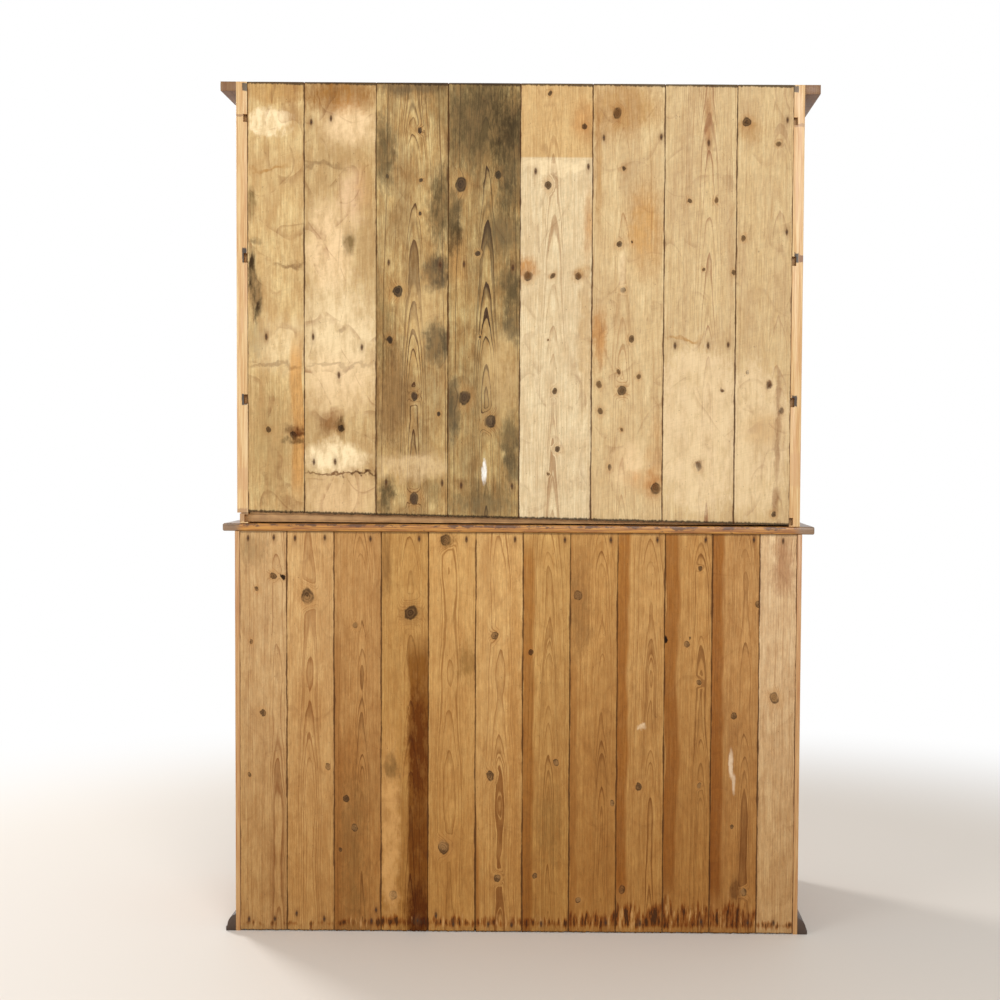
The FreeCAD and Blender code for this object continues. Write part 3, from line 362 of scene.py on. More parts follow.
# %% [markdown]
# ## Stains
#
# The back stood in damp rooms. Stains are soft spots with a ragged edge, laid one over the
# other: pale patches cover the wood, and dark ones soak in, so they multiply its colour. Thin
# smears wander across the boards, and beside some joints a dark stripe runs down that is
# sharp on the side of the joint and fades on the other.

# %% Patches, stains, smears and stripes
SMALL_STAIN = 16
SOFTNESS = 0.6


def paint_stains(board, patches=(), stains=(), **_):
    """Pale patches, then stains: place across and up, half sizes, colour, share and softness."""
    warp_x, warp_z = board.warp[0] - 0.5, board.warp[1] - 0.5
    coarse = board.point(board.x + warp_x * 0.05, board.z + warp_z * 0.06, 0.0)
    small = board.point(board.x + warp_x * 0.012 + board.grit * 0.004, board.z + warp_z * 0.05, 0.0)
    blends = [(patch, "MIX") for patch in patches] + [(stain, "MULTIPLY") for stain in stains]
    for mark, blend in blends:
        x, z, wide, tall, tone, share, soften = (*mark, SOFTNESS)[:7]
        ragged = small if wide < SMALL_STAIN else coarse
        near = board.vectors("MULTIPLY", ragged, (1 / (wide * MM), 1 / (tall * MM), 0.0))
        away = board.gap(near, (x / wide, z / tall, 0.0))
        mask = (away + board.grit * 1.1).between(1 + soften, 1 - soften, 0.0, share)
        mask = mask * board.mottle.between(0.32, 0.6, 0.5, 1.15)
        board.paint((mask * board.outside).math("MINIMUM", 1.0), tone, blend)


def paint_smears(board, smears, **_):
    """Thin crisp lines that wander across a board, where the noise passes its middle."""
    for seed, wide in ((2.0, 0.02), (8.0, 0.05)):
        level = board.cloud(board.x * 9 + seed, board.z * 5.5, board.middle * 30 + seed, 0.6, 0.4) - 0.5
        mask = level.between(0.0, wide, 1.0, 0.0) * level.between(-0.003, 0.0)
        board.soak(mask * board.warp[0].between(0.4, 0.6, 0.0, smears), shade(150, 96, 52), "MULTIPLY")


def paint_stripes(board, strips=(), **_):
    """Stripes down a board: their sharp and soft sides, their low and high ends, colour, share."""
    sway = (board.cloud(3.0, board.z * 5.5, board.middle * 9) - 0.5) * 0.026 + board.grit * 0.004
    x, z = board.x + sway, board.z
    for sharp_x, soft_x, low_z, high_z, tone, share in strips:
        turn = 1 if soft_x > sharp_x else -1
        body = x.between(sharp_x * MM, (sharp_x + 2.5 * turn) * MM)
        body = body * x.between((soft_x + 3 * turn) * MM, (soft_x - 7 * turn) * MM)
        body = body * z.between(low_z * MM, (low_z + 90) * MM) * z.between(high_z * MM, (high_z - 90) * MM)
        mask = body * board.mottle.between(0.25, 0.65, 0.6, 1.1) * share * board.outside
        board.paint(mask.math("MINIMUM", 1.0), tone, "MULTIPLY")


print("marks smaller than", SMALL_STAIN, "mm keep a fine edge")

# %% [markdown]
# ## Rot, ends, nails and joints
#
# The foot of the base stood on a wet floor: its boards are stained first, then black and soft,
# and pale where fibres broke away. Ends are torn and dirty, iron nails bled into the wood, and
# dirt and painted shade lie in the joints. The pit saw left fine lines across, which also raise
# the surface.

# %% Damage and dirt
NAIL_SQUEEZE = 1.9


def paint_rot(board, rot=None, **_):
    """Rot from the floor up: how high it climbs, in millimetres, and its share."""
    if not rot:
        return
    height, share = rot
    streak = board.cloud(board.x * 105, 2.0, board.z * 13, 5.0, 0.66)
    climb = board.cloud(board.x * 24, 4.0, 0.0, 3.0, 0.6)
    level = board.z / (height * MM) + (0.5 - climb) * 1.3
    band = level.between(1.3, 0.6) * (board.z + board.grit * 0.02).between(0.006, 0.022, 0.45, 1.0)
    damp = (streak + band * 0.3).between(0.7, 0.84, 0.0, share)
    board.soak(damp, shade(196, 152, 104), "MULTIPLY")
    black = (streak + band * 0.3).between(0.825, 0.88, 0.0, share)
    board.soak(black, shade(64, 38, 18))
    pale_bits = streak.between(0.43, 0.36, 0.0, 0.6) * band
    board.soak(pale_bits, shade(198, 152, 98))


def paint_ends(board, ends, end_slope, nails, **_):
    """Torn dirty ends, rust round the nails and specks of dirt."""
    x, y, z = board.x, board.y, board.z
    for end, reach, share in ends:
        streak = board.cloud(x * 210, 1.0, z * 60)
        edge = abs(z - end * MM - (board.across * end_slope))
        dark = edge.between(reach * MM, 0.0) + streak - 0.5
        board.soak(dark.between(0.3, 0.75, 0.0, share), shade(52, 38, 26))
    places = [(nail_x * NAIL_SQUEEZE, nail_z, 4.6) for nail_x, nail_z in nails]
    near_x = (x + board.grit * 0.004) * NAIL_SQUEEZE
    near, _ = knot_field(board, near_x, z + (board.warp[1] - 0.5) * 0.008, places)
    board.soak(near.between(1.9, 0.8, 0.0, 0.85), shade(52, 31, 20))
    board.soak(near.between(4.5, 1.2, 0.0, 0.3), shade(120, 78, 44))
    speck = board.cloud(x * 260, y * 90, z * 150, 3.0, 0.7).between(0.66, 0.74, 0.0, 0.55)
    board.soak(speck, shade(74, 50, 34))


def close_board(board, saw, **_):
    """Dirt and painted shade in the joints, saw marks, and then the shader's sockets."""
    x, z, half = board.x, board.z, board.half
    wave = board.cloud(board.across * 6, board.middle * 50, z * 11, 4.0, 0.7) - 0.5
    joint = abs(board.across) + wave * 0.011 + (board.warp[0] - 0.5) * 0.003
    # A dark line along both edges of the board: dirt in the joint and painted shade of the gap.
    board.paint(joint.between(half - 0.0026, half - 0.0004, 0.0, 0.8), shade(84, 50, 26))
    lines = board.cloud(x * 22, 0.0, z * 330 + x * 80, 1.5)
    board.paint(saw, board.mix(lines, shade(150, 140, 130), WHITE), "MULTIPLY")
    height = board.fibre * 0.5 + lines * 0.6 - board.lines * 0.3 + board.strand * 0.4
    height = height + board.nearest.between(1.3, 0.6, 0.0, 0.6)
    bump = board.add("ShaderNodeBump", {}, {"Strength": 0.4, "Distance": 0.0007, "Height": height})
    board.wear({"Base Color": board.colour, "Roughness": board.fibre * 0.18 + 0.68, "Normal": bump})
    board.wear({"Specular IOR Level": 0.1})


def sawn_board(name, x_range, **marks):
    """The finish of one sawn board of a back, by its sides and its marks."""
    board = SawnBoard(name, x_range)
    board.figure(**marks)
    board.roughen(**marks)
    for layer in (paint_stains, paint_smears, paint_stripes, paint_rot, paint_ends, close_board):
        layer(board, **marks)
    return board


print("a nail's rust is", NAIL_SQUEEZE, "times as tall as it is wide")

# %% [markdown]
# ## Cutting a piece
#
# A piece starts as a cube, is scaled to its box, and gets its edges rounded before it is
# divided, because rounding afterwards would round every division. Then the points are moved a
# little, always inwards, so that edges wander as a hand plane and a century leave them.

# %% Helpers for shapes


def edges_along(bm, axis):
    """The edges that run along an axis, 0 to 2."""
    return [e for e in bm.edges if abs((e.verts[0].co - e.verts[1].co).normalized()[axis]) > 0.999]


def bevel(bm, edges, offset, segments, clamp=False):
    """Rounds edges by an offset in millimetres."""
    bmesh.ops.bevel(
        bm, geom=edges, offset=offset * MM, segments=segments, profile=0.5, affect="EDGES", material=-1,
        clamp_overlap=clamp,
    )


def block(low, high, rounding=1.0, cuts=(0, 0, 0), segments=2):
    """A box between two corners in millimetres, with rounded edges and cuts along its axes."""
    bm = bmesh.new()
    bmesh.ops.create_cube(bm, size=1.0)
    bmesh.ops.scale(bm, vec=[(b - a) * MM for a, b in zip(low, high)], verts=bm.verts)
    bmesh.ops.translate(bm, vec=[(a + b) / 2 * MM for a, b in zip(low, high)], verts=bm.verts)
    if rounding:
        bevel(bm, bm.edges, rounding, segments)
    for axis, count in enumerate(cuts):
        if count:
            long_edges = [e for e in edges_along(bm, axis) if e.calc_length() > rounding * 3 * MM]
            bmesh.ops.subdivide_edges(bm, edges=long_edges, cuts=count, use_grid_fill=True)
    return bm


def worn(bm, amount, seed=0.0, pitch=40.0):
    """Moves the points a little inwards, up to an amount in millimetres."""
    middle = sum((v.co for v in bm.verts), Vector()) / len(bm.verts)
    for v in bm.verts:
        drift = noise.noise_vector(v.co * (1000 / pitch) + Vector((seed, seed * 1.7, 0)))
        for axis in range(3):
            inwards = -1 if v.co[axis] > middle[axis] else 1
            v.co[axis] += inwards * (abs(drift[axis]) * amount * MM)
    return bm


print("shapes are cut in", MM, "m")

# %% [markdown]
# ## Closing a piece
#
# The same last step closes every piece: it marks the hard edges, gives the piece its finish,
# hides the solids that it stands for, and lets it ride on its body. It also writes where each
# point lies in its own board, so that one finish can give every piece a figure of its own.

# %% Helpers for pieces


def mesh_object(name, bm):
    """An object in the scene with the mesh that was made."""
    mesh = bpy.data.meshes.new(name)
    bm.to_mesh(mesh)
    bm.free()
    thing = bpy.data.objects.new(name, mesh)
    bpy.context.scene.collection.objects.link(thing)
    return thing


def lay_grain(piece, run, face):
    """Writes each point's place in its own board, and how far the board reaches, both across,
    under the face and along the grain."""
    mesh = piece.data
    order = (3 - run - face, face, run)
    spots = [v.co.copy() for v in mesh.vertices]
    low = Vector([min(c[axis] for c in spots) for axis in (X, Y, Z)])
    high = Vector([max(c[axis] for c in spots) for axis in (X, Y, Z)])
    middle = (low + high) / 2
    seed = sum(ord(letter) * (place + 3) for place, letter in enumerate(piece.name)) % 997 / 10
    stock = mesh.attributes.new("stock", "FLOAT", "POINT")
    stock.data.foreach_set("value", [seed] * len(spots))
    grain = mesh.attributes.new("grain", "FLOAT_VECTOR", "POINT")
    grain.data.foreach_set("vector", [(co - middle)[axis] for co in spots for axis in order])
    reach = mesh.attributes.new("reach", "FLOAT_VECTOR", "POINT")
    reach.data.foreach_set("vector", [(high - middle)[axis] for axis in order] * len(spots))


def finish_piece(bm, name, body, finish, stands_for=(), slot=None, run=Z, face=Y, crease=32.0):
    """Makes an object of a mesh: hard edges, grain, finish, and the body that it rides on."""
    bmesh.ops.recalc_face_normals(bm, faces=bm.faces)
    for edge in bm.edges:
        edge.smooth = len(edge.link_faces) == 2 and edge.calc_face_angle(0) < math.radians(crease)
    for polygon in bm.faces:
        polygon.smooth = True
    piece = mesh_object(name, bm)
    piece.data.materials.append(finish.material)
    lay_grain(piece, run, face)
    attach(piece, body)
    if stands_for:
        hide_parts(*stands_for)
    return piece


print("grain runs up a piece unless it is told otherwise")

# %% [markdown]
# ## Planed pine for everything else
#
# The sides, frames, doors and drawers were planed, and a century of wax and hands has made
# them honey brown. Wide pieces are glued up from planks with a fine joint, and each plank
# throws its own dice: they shift its pith and scatter its knots, which come from a Voronoi
# pattern, one to a cell. Over the figure lie age and use: dust in the pores, grime and painted
# shade that gather near the edges, arrises rubbed bare and pale, and small dents.

# %% What planed pieces share
PLANK = 0.165
KNOT_CELL = (6.5, 3.1)
PINE_RING = 0.0034
UMBER_HEART, UMBER_RIM = shade(118, 74, 42), shade(72, 42, 22)


def inside_box(finish):
    """How far a point of a boxy piece is from its sides, across, in depth and along, in metres."""
    within = finish.vectors("ABSOLUTE", finish.read("grain"))
    return finish.split(finish.vectors("SUBTRACT", finish.read("reach"), within))


def edge_distance(finish):
    """How far a point of a boxy piece is from its nearest edge, in metres."""
    one, two, three = inside_box(finish)
    smaller, larger = one.math("MINIMUM", two), one.math("MAXIMUM", two)
    return smaller.math("MAXIMUM", larger.math("MINIMUM", three))


def scattered_knots(finish, local, depth, far, dice, share):
    """The nearest knot of a plank in its own radii, and the hump it raises in the rings."""
    board = finish.point(local * KNOT_CELL[0] + dice * 50, far * KNOT_CELL[1], 0.0)
    cells = {"Vector": board, "Scale": 1.0}
    spots = finish.add("ShaderNodeTexVoronoi", {"voronoi_dimensions": "2D"}, cells, "Position")
    spot_x, spot_z, _ = finish.split(spots)
    board_x, board_z, _ = finish.split(board)
    warp = finish.cloud(local * 60, depth * 60, far * 60) - 0.5
    gap_x = (board_x - spot_x) / KNOT_CELL[0] + warp * 0.004
    gap_z = (board_z - spot_z) / KNOT_CELL[1] * 0.8
    gap = (gap_x * gap_x + gap_z * gap_z).math("SQRT")
    size, _, _ = finish.split(spots.out("Color"))
    radius = size.between(1 - share, 1.0, 0.0002, 0.0095)
    return gap / radius, (gap / (radius * 3.2)).between(1.0, 0.0) * radius * 1.4


print("planks of", PLANK / MM, "mm, rings of", PINE_RING / MM, "mm")

# %% The finish of planed pine


def planed_pine(
    name, tone, late, rough=0.42, coat=0.0, line=0.75, blotch=0.3, knots=0.55, grime=0.5, saw=0.0,
    rubbed=0.5, touch=None,
):
    """Planed pine, read from a piece's own grain. touch may paint more over its colour."""
    finish = Finish(name)
    across, depth, along = finish.split(finish.read("grain"))
    plank = (across / PLANK + 0.5).math("FLOOR")
    seed = {"W": finish.read("stock", "Fac") + plank * 3.7}
    one, two, three = finish.split(finish.add("ShaderNodeTexWhiteNoise", ONE_WAY, seed, "Color"))
    local, far = across - plank * PLANK, along + one * 40
    nearest, hump = scattered_knots(finish, local, depth, far, two, knots)
    side, inwards = (two - 0.5) * 0.09, depth + three * 0.05 + 0.045
    lift = hump + along * 0.022 * (one - 0.5) * 2
    lines = year_lines(finish, local - side, inwards, far, (0.0, 0.0, 0.0, 0.006), PINE_RING, lift)
    finish.colour = finish.mix(lines * line, tone, late)
    fibre = finish.cloud(local * 640, depth * 640, far * 13, 2.0, 0.6)
    finish.paint(0.28, finish.mix(fibre, shade(130, 112, 96), WHITE), "MULTIPLY")
    finish.paint(1.0, finish.mix(three, shade(226, 214, 200), WHITE), "MULTIPLY")
    soft = finish.cloud(local * 13, depth * 9, far * 4.2, 3.0, 0.55)
    finish.paint(soft.between(0.4, 0.72, 0.0, blotch), late)
    broken = finish.cloud(local * 90, depth * 90, far * 60, 3.0)
    paint_knots(finish, nearest, UMBER_HEART, UMBER_RIM, broken)
    seam = abs(abs(local) - PLANK / 2).between(0.0011, 0.0003, 0.0, 0.7)
    finish.paint(seam, shade(70, 44, 24))
    dust = finish.cloud(across * 30 + 5.0, depth * 30, along * 30, 4.0, 0.6)
    finish.paint(dust.between(0.58, 0.78, 0.0, grime * 0.5), shade(96, 64, 38))
    # Darker near a piece's edges: dust that gathers there, and painted shade where pieces meet in a corner.
    edge = edge_distance(finish)
    nick = finish.cloud(across * 75, depth * 75, along * 17, 5.0, 0.72) - 0.5
    corner = (edge + nick * 0.05).between(0.022, 0.001, 0.0, grime * 0.5)
    finish.paint(corner * dust.between(0.36, 0.6), shade(98, 60, 32))
    bare = (edge + nick * 0.007).between(0.003, 0.0008, 0.0, rubbed)
    finish.paint(bare, finish.mix(nick.between(-0.12, 0.12), shade(226, 178, 120), late))
    dent = finish.cloud(across * 60 + 9.0, depth * 60, along * 34, 3.0, 0.8).between(0.72, 0.76)
    finish.paint(dent * 0.55, shade(82, 50, 28))
    marks = finish.cloud(local * 20, 0.0, far * 400 + local * 50, 1.0)
    if saw:
        finish.paint(saw, finish.mix(marks, shade(150, 140, 130), WHITE), "MULTIPLY")
    if touch:
        touch(finish)
    height = fibre * 0.4 - lines * 0.25 + marks * saw - dent * 1.6 - bare * 0.5
    bump = finish.add("ShaderNodeBump", {}, {"Strength": 0.25, "Distance": 0.0006, "Height": height})
    roughness = fibre * 0.12 + dust * 0.12 + (rough - 0.12)
    finish.wear({"Base Color": finish.colour, "Roughness": roughness, "Normal": bump})
    if coat:
        finish.wear({"Coat Weight": coat, "Coat Roughness": 0.28})
    return finish


print("a planed finish has", planed_pine.__code__.co_argcount, "values to set")

# %% [markdown]
# ## What hands, floors and saws did
#
# Some pieces carry marks of their own over the planed pine. The sides' rear edges were sawn
# when the case was cut down: they are paler and show old holes and plugs. Fronts are greasy
# round every knob and scuffed along the floor. The slab's rear edge is streaked, its ends have
# gone grey and wet glasses left rings on it. Wax and painted shade lie dark in the steps of the
# panels, and the plinth is nearly black at its rear ends.

# %% Marks over planed pine
SAWN_AT = 0.2506


def rear_edge(tone, places=()):
    """Paints a sawn rear edge, and its marks: place across and up, half sizes, colour and share."""

    def touch(finish):
        x, y, z = finish.place()
        fibre = finish.cloud(x * 300, y * 300, z * 9, 3.0, 0.65).between(0.3, 0.7, 0.8, 1.08)
        streaks = finish.point(fibre, fibre * fibre, fibre * fibre * fibre)
        finish.paint(y.between(SAWN_AT, SAWN_AT + 0.0008), finish.mix(1.0, tone, streaks, "MULTIPLY"))
        ragged = finish.cloud(x * 160, y * 160, z * 160, 3.0, 0.6) - 0.5
        for spot_x, spot_z, wide, tall, stain, share in places:
            far_x = abs(x + ragged * 0.004 - spot_x * MM) / (wide * MM)
            far_z = abs(z + ragged * 0.012 - spot_z * MM) / (tall * MM)
            mask = far_x.math("MAXIMUM", far_z).between(1.15, 0.85, 0.0, share)
            finish.paint(mask * y.between(0.246, 0.25), stain)

    return touch


knob_places = {"glazed": (31.0, 1512.2), "panelled": (38.5, 448.2)}
drawer_knobs_x, drawer_knobs_z = (166.5, 481.5), 874.0


def handled(finish):
    """Where hands and feet have darkened the front: round every knob, and along the floor."""
    x, y, z = finish.place()
    cloudy = finish.cloud(x * 34, y * 34, z * 34, 4.0, 0.6)
    spot = finish.point(abs(x), z, 0.0)
    nearest = None
    drawer_places = [(knob_x, drawer_knobs_z) for knob_x in drawer_knobs_x]
    for knob_x, knob_z in (*knob_places.values(), *drawer_places):
        gap = finish.gap(spot, (knob_x * MM, knob_z * MM, 0.0))
        nearest = gap if nearest is None else nearest.math("MINIMUM", gap)
    in_front = finish.split(finish.read("grain"))[1].between(0.004, -0.004)
    greasy = (nearest + (cloudy - 0.5) * 0.09).between(0.075, 0.012, 0.0, 0.5) * in_front
    finish.paint(greasy, shade(122, 74, 38))
    scuffed = (z + (cloudy - 0.5) * 0.16).between(0.12, 0.0, 0.0, 0.5)
    finish.paint(scuffed, shade(92, 58, 32))


def worn_slab(finish):
    """Streaks on the slab's rear edge, rings of wet glasses on its top, and grey ends."""
    x, y, z = finish.place()
    streak = finish.cloud(x * 9, y * 60, z * 420, 4.0, 0.7)
    dark = finish.cloud(x * 34 + 3, y * 30, z * 80, 5.0, 0.72)
    rear = y.between(0.2475, 0.2505)
    finish.paint(rear, shade(186, 130, 54))
    finish.paint(streak.between(0.42, 0.56, 0.0, 0.85) * rear, shade(126, 72, 28))
    upper = z.between(0.981, 0.9895, 0.0, 0.14)
    finish.paint((dark + upper).between(0.6, 0.68, 0.0, 0.85) * rear, shade(70, 38, 16))
    spot = finish.point(x + (streak - 0.5) * 0.002, y, 0.0)
    for ring_x, ring_y, radius in ((-0.31, -0.15, 0.034), (0.42, -0.13, 0.039), (0.36, -0.16, 0.039)):
        ring = abs(finish.gap(spot, (ring_x, ring_y, 0.0)) - radius).between(0.0028, 0.0008)
        ring = ring * z.between(0.9915, 0.9925) * dark.between(0.4, 0.6)
        finish.paint(ring * 0.5, shade(84, 48, 24))
    ends = (abs(x) + dark * 0.03).between(0.675, 0.7, 0.0, 0.8)
    grey = finish.mix(streak.between(0.35, 0.65), shade(76, 60, 48), shade(146, 122, 98))
    finish.paint(ends, grey)


def waxed_panel(finish):
    """Old wax, dust and painted shade lie dark along the frame and in the step round a panel's field."""
    one, _, three = inside_box(finish)
    inwards = one.math("MINIMUM", three)
    in_front = finish.split(finish.read("grain"))[1].between(0.0045, 0.0035)
    x, y, z = finish.place()
    cloudy = finish.cloud(x * 50, y * 50, z * 50, 4.0, 0.65)
    dusty = cloudy.between(0.3, 0.62, 0.35, 1.0)
    # Painted shade, with old wax and dust, darkens the panel along its frame and in the step round its field.
    along_frame = (inwards + cloudy * 0.006).between(0.024, 0.012, 0.0, 0.6)
    finish.paint(along_frame * dusty, shade(104, 62, 32))
    step = abs(inwards - 0.0432).between(0.0042, 0.0006, 0.0, 0.65) * dusty * in_front
    finish.paint(step, shade(96, 56, 28))
    handled(finish)
    arris = abs(inwards - 0.0462).between(0.0016, 0.0004, 0.0, 0.4) * cloudy.between(0.4, 0.6) * in_front
    finish.paint(arris, shade(226, 178, 120))


def dirty_foot(finish):
    """The plinth is dark with floor dirt, nearly black at its rear ends."""
    x, y, z = finish.place()
    cloudy = finish.cloud(x * 30, y * 30, z * 50, 4.0, 0.65)
    finish.paint((z + cloudy * 0.02).between(0.03, 0.008, 0.0, 0.6), shade(78, 52, 34))
    finish.paint((y + cloudy * 0.08).between(0.16, 0.25, 0.0, 0.9), shade(50, 36, 26))


print("hands darken", len(knob_places) + len(drawer_knobs_x), "places on either side")

# %% [markdown]
# ## The finishes of the planed pieces
#
# All planed pieces are the same pine. They differ in how dark they are, how thick the wax on
# them is, how much dirt they hold, and in the marks above. The marks on the upper sides are
# the dark ends of the shelves' housings, old plugs and pale scraped places.

# %% Planed finishes
hole, plug, fresh = shade(34, 24, 18), shade(118, 76, 46), shade(206, 170, 118)
scraped = shade(190, 146, 100)
near_marks = (
    (658, 1634, 5, 17, hole, 0.95), (659, 1290, 6, 12, hole, 0.95), (656, 2032, 6, 9, hole, 0.85),
    (665, 1965, 12, 3, plug, 0.6), (664, 1480, 3, 30, shade(196, 150, 104), 0.6),
    (664, 1100, 12, 26, scraped, 0.5), (664, 1012, 12, 16, shade(150, 108, 72), 0.7),
)
far_marks = (
    (-661, 1635, 5, 12, hole, 0.95), (-660, 1295, 6, 13, hole, 0.95), (-673, 1634, 6, 8, plug, 0.9),
    (-656, 2034, 6, 8, hole, 0.8), (-664, 1950, 12, 4, plug, 0.5), (-664, 1130, 12, 40, scraped, 0.5),
    (-660, 1780, 3, 60, shade(200, 156, 110), 0.6),
)
honey, amber = shade(203, 150, 92), shade(140, 84, 40)
moulded = dict(rough=0.5, coat=0.1, line=0.8, blotch=0.5, knots=0.3, grime=1.2, rubbed=0.25)
pine = {}
for name, tone, late, values in (
    ("case_pine", honey, amber, dict(rough=0.4, coat=0.25, touch=handled)),
    ("panel_pine", shade(200, 146, 88), shade(138, 82, 38), dict(rough=0.4, coat=0.25, touch=waxed_panel)),
    ("inside_pine", shade(205, 165, 112), shade(150, 104, 60),
     dict(rough=0.6, line=0.6, knots=0.5, grime=0.7, saw=0.1)),
    ("near_side_pine", honey, amber, dict(coat=0.2, touch=rear_edge(fresh, near_marks))),
    ("far_side_pine", honey, amber, dict(coat=0.2, touch=rear_edge(fresh, far_marks))),
    ("base_side_pine", honey, amber, dict(coat=0.2, touch=rear_edge(shade(182, 138, 86)))),
    ("slab_pine", shade(198, 142, 74), shade(112, 64, 28),
     dict(coat=0.2, line=0.95, blotch=0.4, knots=0.5, grime=0.7, touch=worn_slab)),
    ("cornice_pine", shade(158, 115, 66), shade(92, 58, 30),
     dict(moulded, touch=rear_edge(shade(120, 84, 46)))),
    ("plinth_pine", shade(160, 114, 72), shade(96, 60, 34), dict(moulded, touch=dirty_foot)),
    ("knob_pine", shade(176, 118, 66), shade(112, 64, 30),
     dict(rough=0.3, coat=0.5, line=0.6, blotch=0.4, knots=0.0, grime=0.9)),
    ("putty", shade(206, 196, 176), shade(150, 138, 118),
     dict(rough=0.7, line=0.1, blotch=0.4, knots=0.0, grime=0.8)),
):
    pine[name] = planed_pine(name, tone, late, **values)
print("planed finishes", *pine)

# %% [markdown]
# ## Old metal
#
# The hinges are worn smooth where they turn and brown where they don't, so one soft noise
# decides between the bare iron and its rust, in colour, shine and roughness together. The
# nails are rusty all over.

# %% Metal finishes


def metal(name, tone, rust, rough, share=0.5, shine=1.0):
    """Old iron: worn smooth in places, dull and brown in others."""
    finish = Finish(name)
    x, y, z = finish.place()
    old = finish.cloud(x * 140, y * 140, z * 140, 4.0, 0.65)
    pits = finish.cloud(x * 900, y * 900, z * 900)
    mask = old.between(0.4, 0.64, 0.0, share)
    bump = finish.add("ShaderNodeBump", {}, {"Strength": 0.3, "Distance": 0.0003, "Height": pits + old})
    finish.wear({"Base Color": finish.mix(mask, tone, rust), "Metallic": (1.0 - mask * 0.8) * shine})
    finish.wear({"Roughness": mask * 0.3 + pits * 0.12 + rough, "Normal": bump})
    return finish


hinge_iron = metal("hinge_iron", shade(96, 90, 84), shade(86, 58, 40), 0.34)
screw_iron = metal("screw_iron", shade(122, 112, 100), shade(78, 52, 36), 0.3)
nail_iron = metal("nail_iron", shade(44, 34, 28), shade(52, 32, 22), 0.6, 0.9, 0.3)
print("finishes", len(bpy.data.materials))

# %% [markdown]
# ## A board of a back
#
# Both backs are boards nailed side by side. A board is cut finely across, so that its lower
# end can be frayed point by point, its face can cup a little and its edges can waver. Where
# two boards meet, one has a tongue, a thin block that shows in the gap. A joint may also have
# opened low down, where the board beside it shrank.

# %% Cutting one nailed board
UPPER_EDGE = 650


def nailed_board(name, x_range, bottom, top, thickness, finish, node, slot, fray, opened=None):
    """One back board: a wavering face, frayed ends, and its tongue towards the next board."""
    low_x, high_x = x_range
    front, foot = BACK - thickness, bottom(low_x)
    joint = [0.1 if abs(side) > UPPER_EDGE else 0.5 for side in x_range]
    low, high = (low_x + joint[0], front, foot), (high_x - joint[1], BACK - 0.1, top)
    bm = block(low, high, 1.0, (40, 0, 26))
    middle_x = (low_x + high_x) / 2 * MM
    for v in bm.verts:
        frayed = (noise.noise(Vector((v.co.x * 190, 3.0, foot))) + 0.45) * fray
        frayed += max(0.0, noise.noise(Vector((v.co.x * 900, 9.0, 1.0)))) * fray * 0.8
        share = max(0.0, 1 - (v.co.z - foot * MM) / 0.03)
        rise = (bottom(v.co.x / MM) - foot) * MM
        v.co.z += share * (rise + max(0.0, frayed) * MM)
        cupped = ((v.co.x - middle_x) / (high_x - low_x) / MM * 2) ** 2
        if v.co.y > (front + thickness / 2) * MM:
            v.co.y -= (cupped * 0.5 + 0.25 + 0.25 * noise.noise(v.co * 9)) * MM
        if abs(v.co.x) < 0.64:
            v.co.x += 0.5 * MM * noise.noise(Vector((0.0, v.co.z * 14, low_x)))
        if opened and v.co.x > (high_x - 5) * MM and v.co.z < opened * MM:
            v.co.x -= 2.6 * MM * min(1.0, (opened * MM - v.co.z) / 0.06)
    if low_x > -UPPER_EDGE:
        tongue = Vector((low_x - 1.6, front + thickness / 2, (foot + top) / 2 + 3)) * MM
        size = Vector((9.0, 4.0, top - foot - 8)) * MM
        tongue = Matrix.Translation(tongue) @ Matrix.Diagonal(size).to_4x4()
        bmesh.ops.create_cube(bm, size=1.0, matrix=tongue)
    return finish_piece(bm, name, "carcass", finish, [node], slot)


print("the back's outer face lies at", BACK, "mm")

# %% [markdown]
# ## The marks of the upper back
#
# Eight wide boards close the upper case. Four of them are pale, two are dark with late wood,
# and damp has stained the last two. The marks are listed board by board, from the right
# side to the left as one stands in front of the doors, in millimetres across the cupboard and
# up from the floor. Soft greys and browns have names, since damp made them all alike.

# %% Marks of the upper boards
pale, straw, cream = shade(244, 220, 176), shade(238, 206, 160), shade(234, 208, 166)
mildew, soot, smoke, dusk = shade(158, 150, 132), shade(84, 76, 68), shade(112, 96, 70), shade(172, 142, 122)
tea, rust, umber = shade(216, 184, 134), shade(222, 172, 110), shade(120, 82, 52)
upper_boards = {}
upper_boards[1] = dict(
    x=(515, 651), tone=shade(216, 188, 135), late=shade(172, 131, 84), pith=(90, 70, 0.01, 8), ring=3.2,
    line=0.5, blotch=0.45, knots=[(600, 1218, 6), (540, 1205, 8)], nails=[(606, 1440)],
    patches=[(596, 1949, 46, 34, pale, 0.85, 0.25), (575, 1420, 62, 60, pale, 0.4)],
    stains=[
        (585, 2022, 80, 26, tea, 0.55, 0.4), (640, 1590, 9, 52, soot, 0.95, 0.5),
        (628, 1530, 12, 42, soot, 0.9, 0.5), (641, 1755, 9, 32, mildew, 0.8),
        (632, 1672, 14, 7, soot, 0.5), (548, 1612, 34, 6, umber, 0.55), (600, 1838, 40, 5, tea, 0.6, 0.5),
        (628, 1440, 26, 50, mildew, 0.4), (600, 1180, 60, 150, shade(214, 206, 192), 0.7),
        (535, 1215, 24, 12, umber, 0.8), (535, 1190, 30, 7, soot, 0.6), (590, 1372, 70, 5, umber, 0.4),
    ],
    strips=[(516, 548, 1025, 1470, shade(236, 196, 146), 0.7)],
)
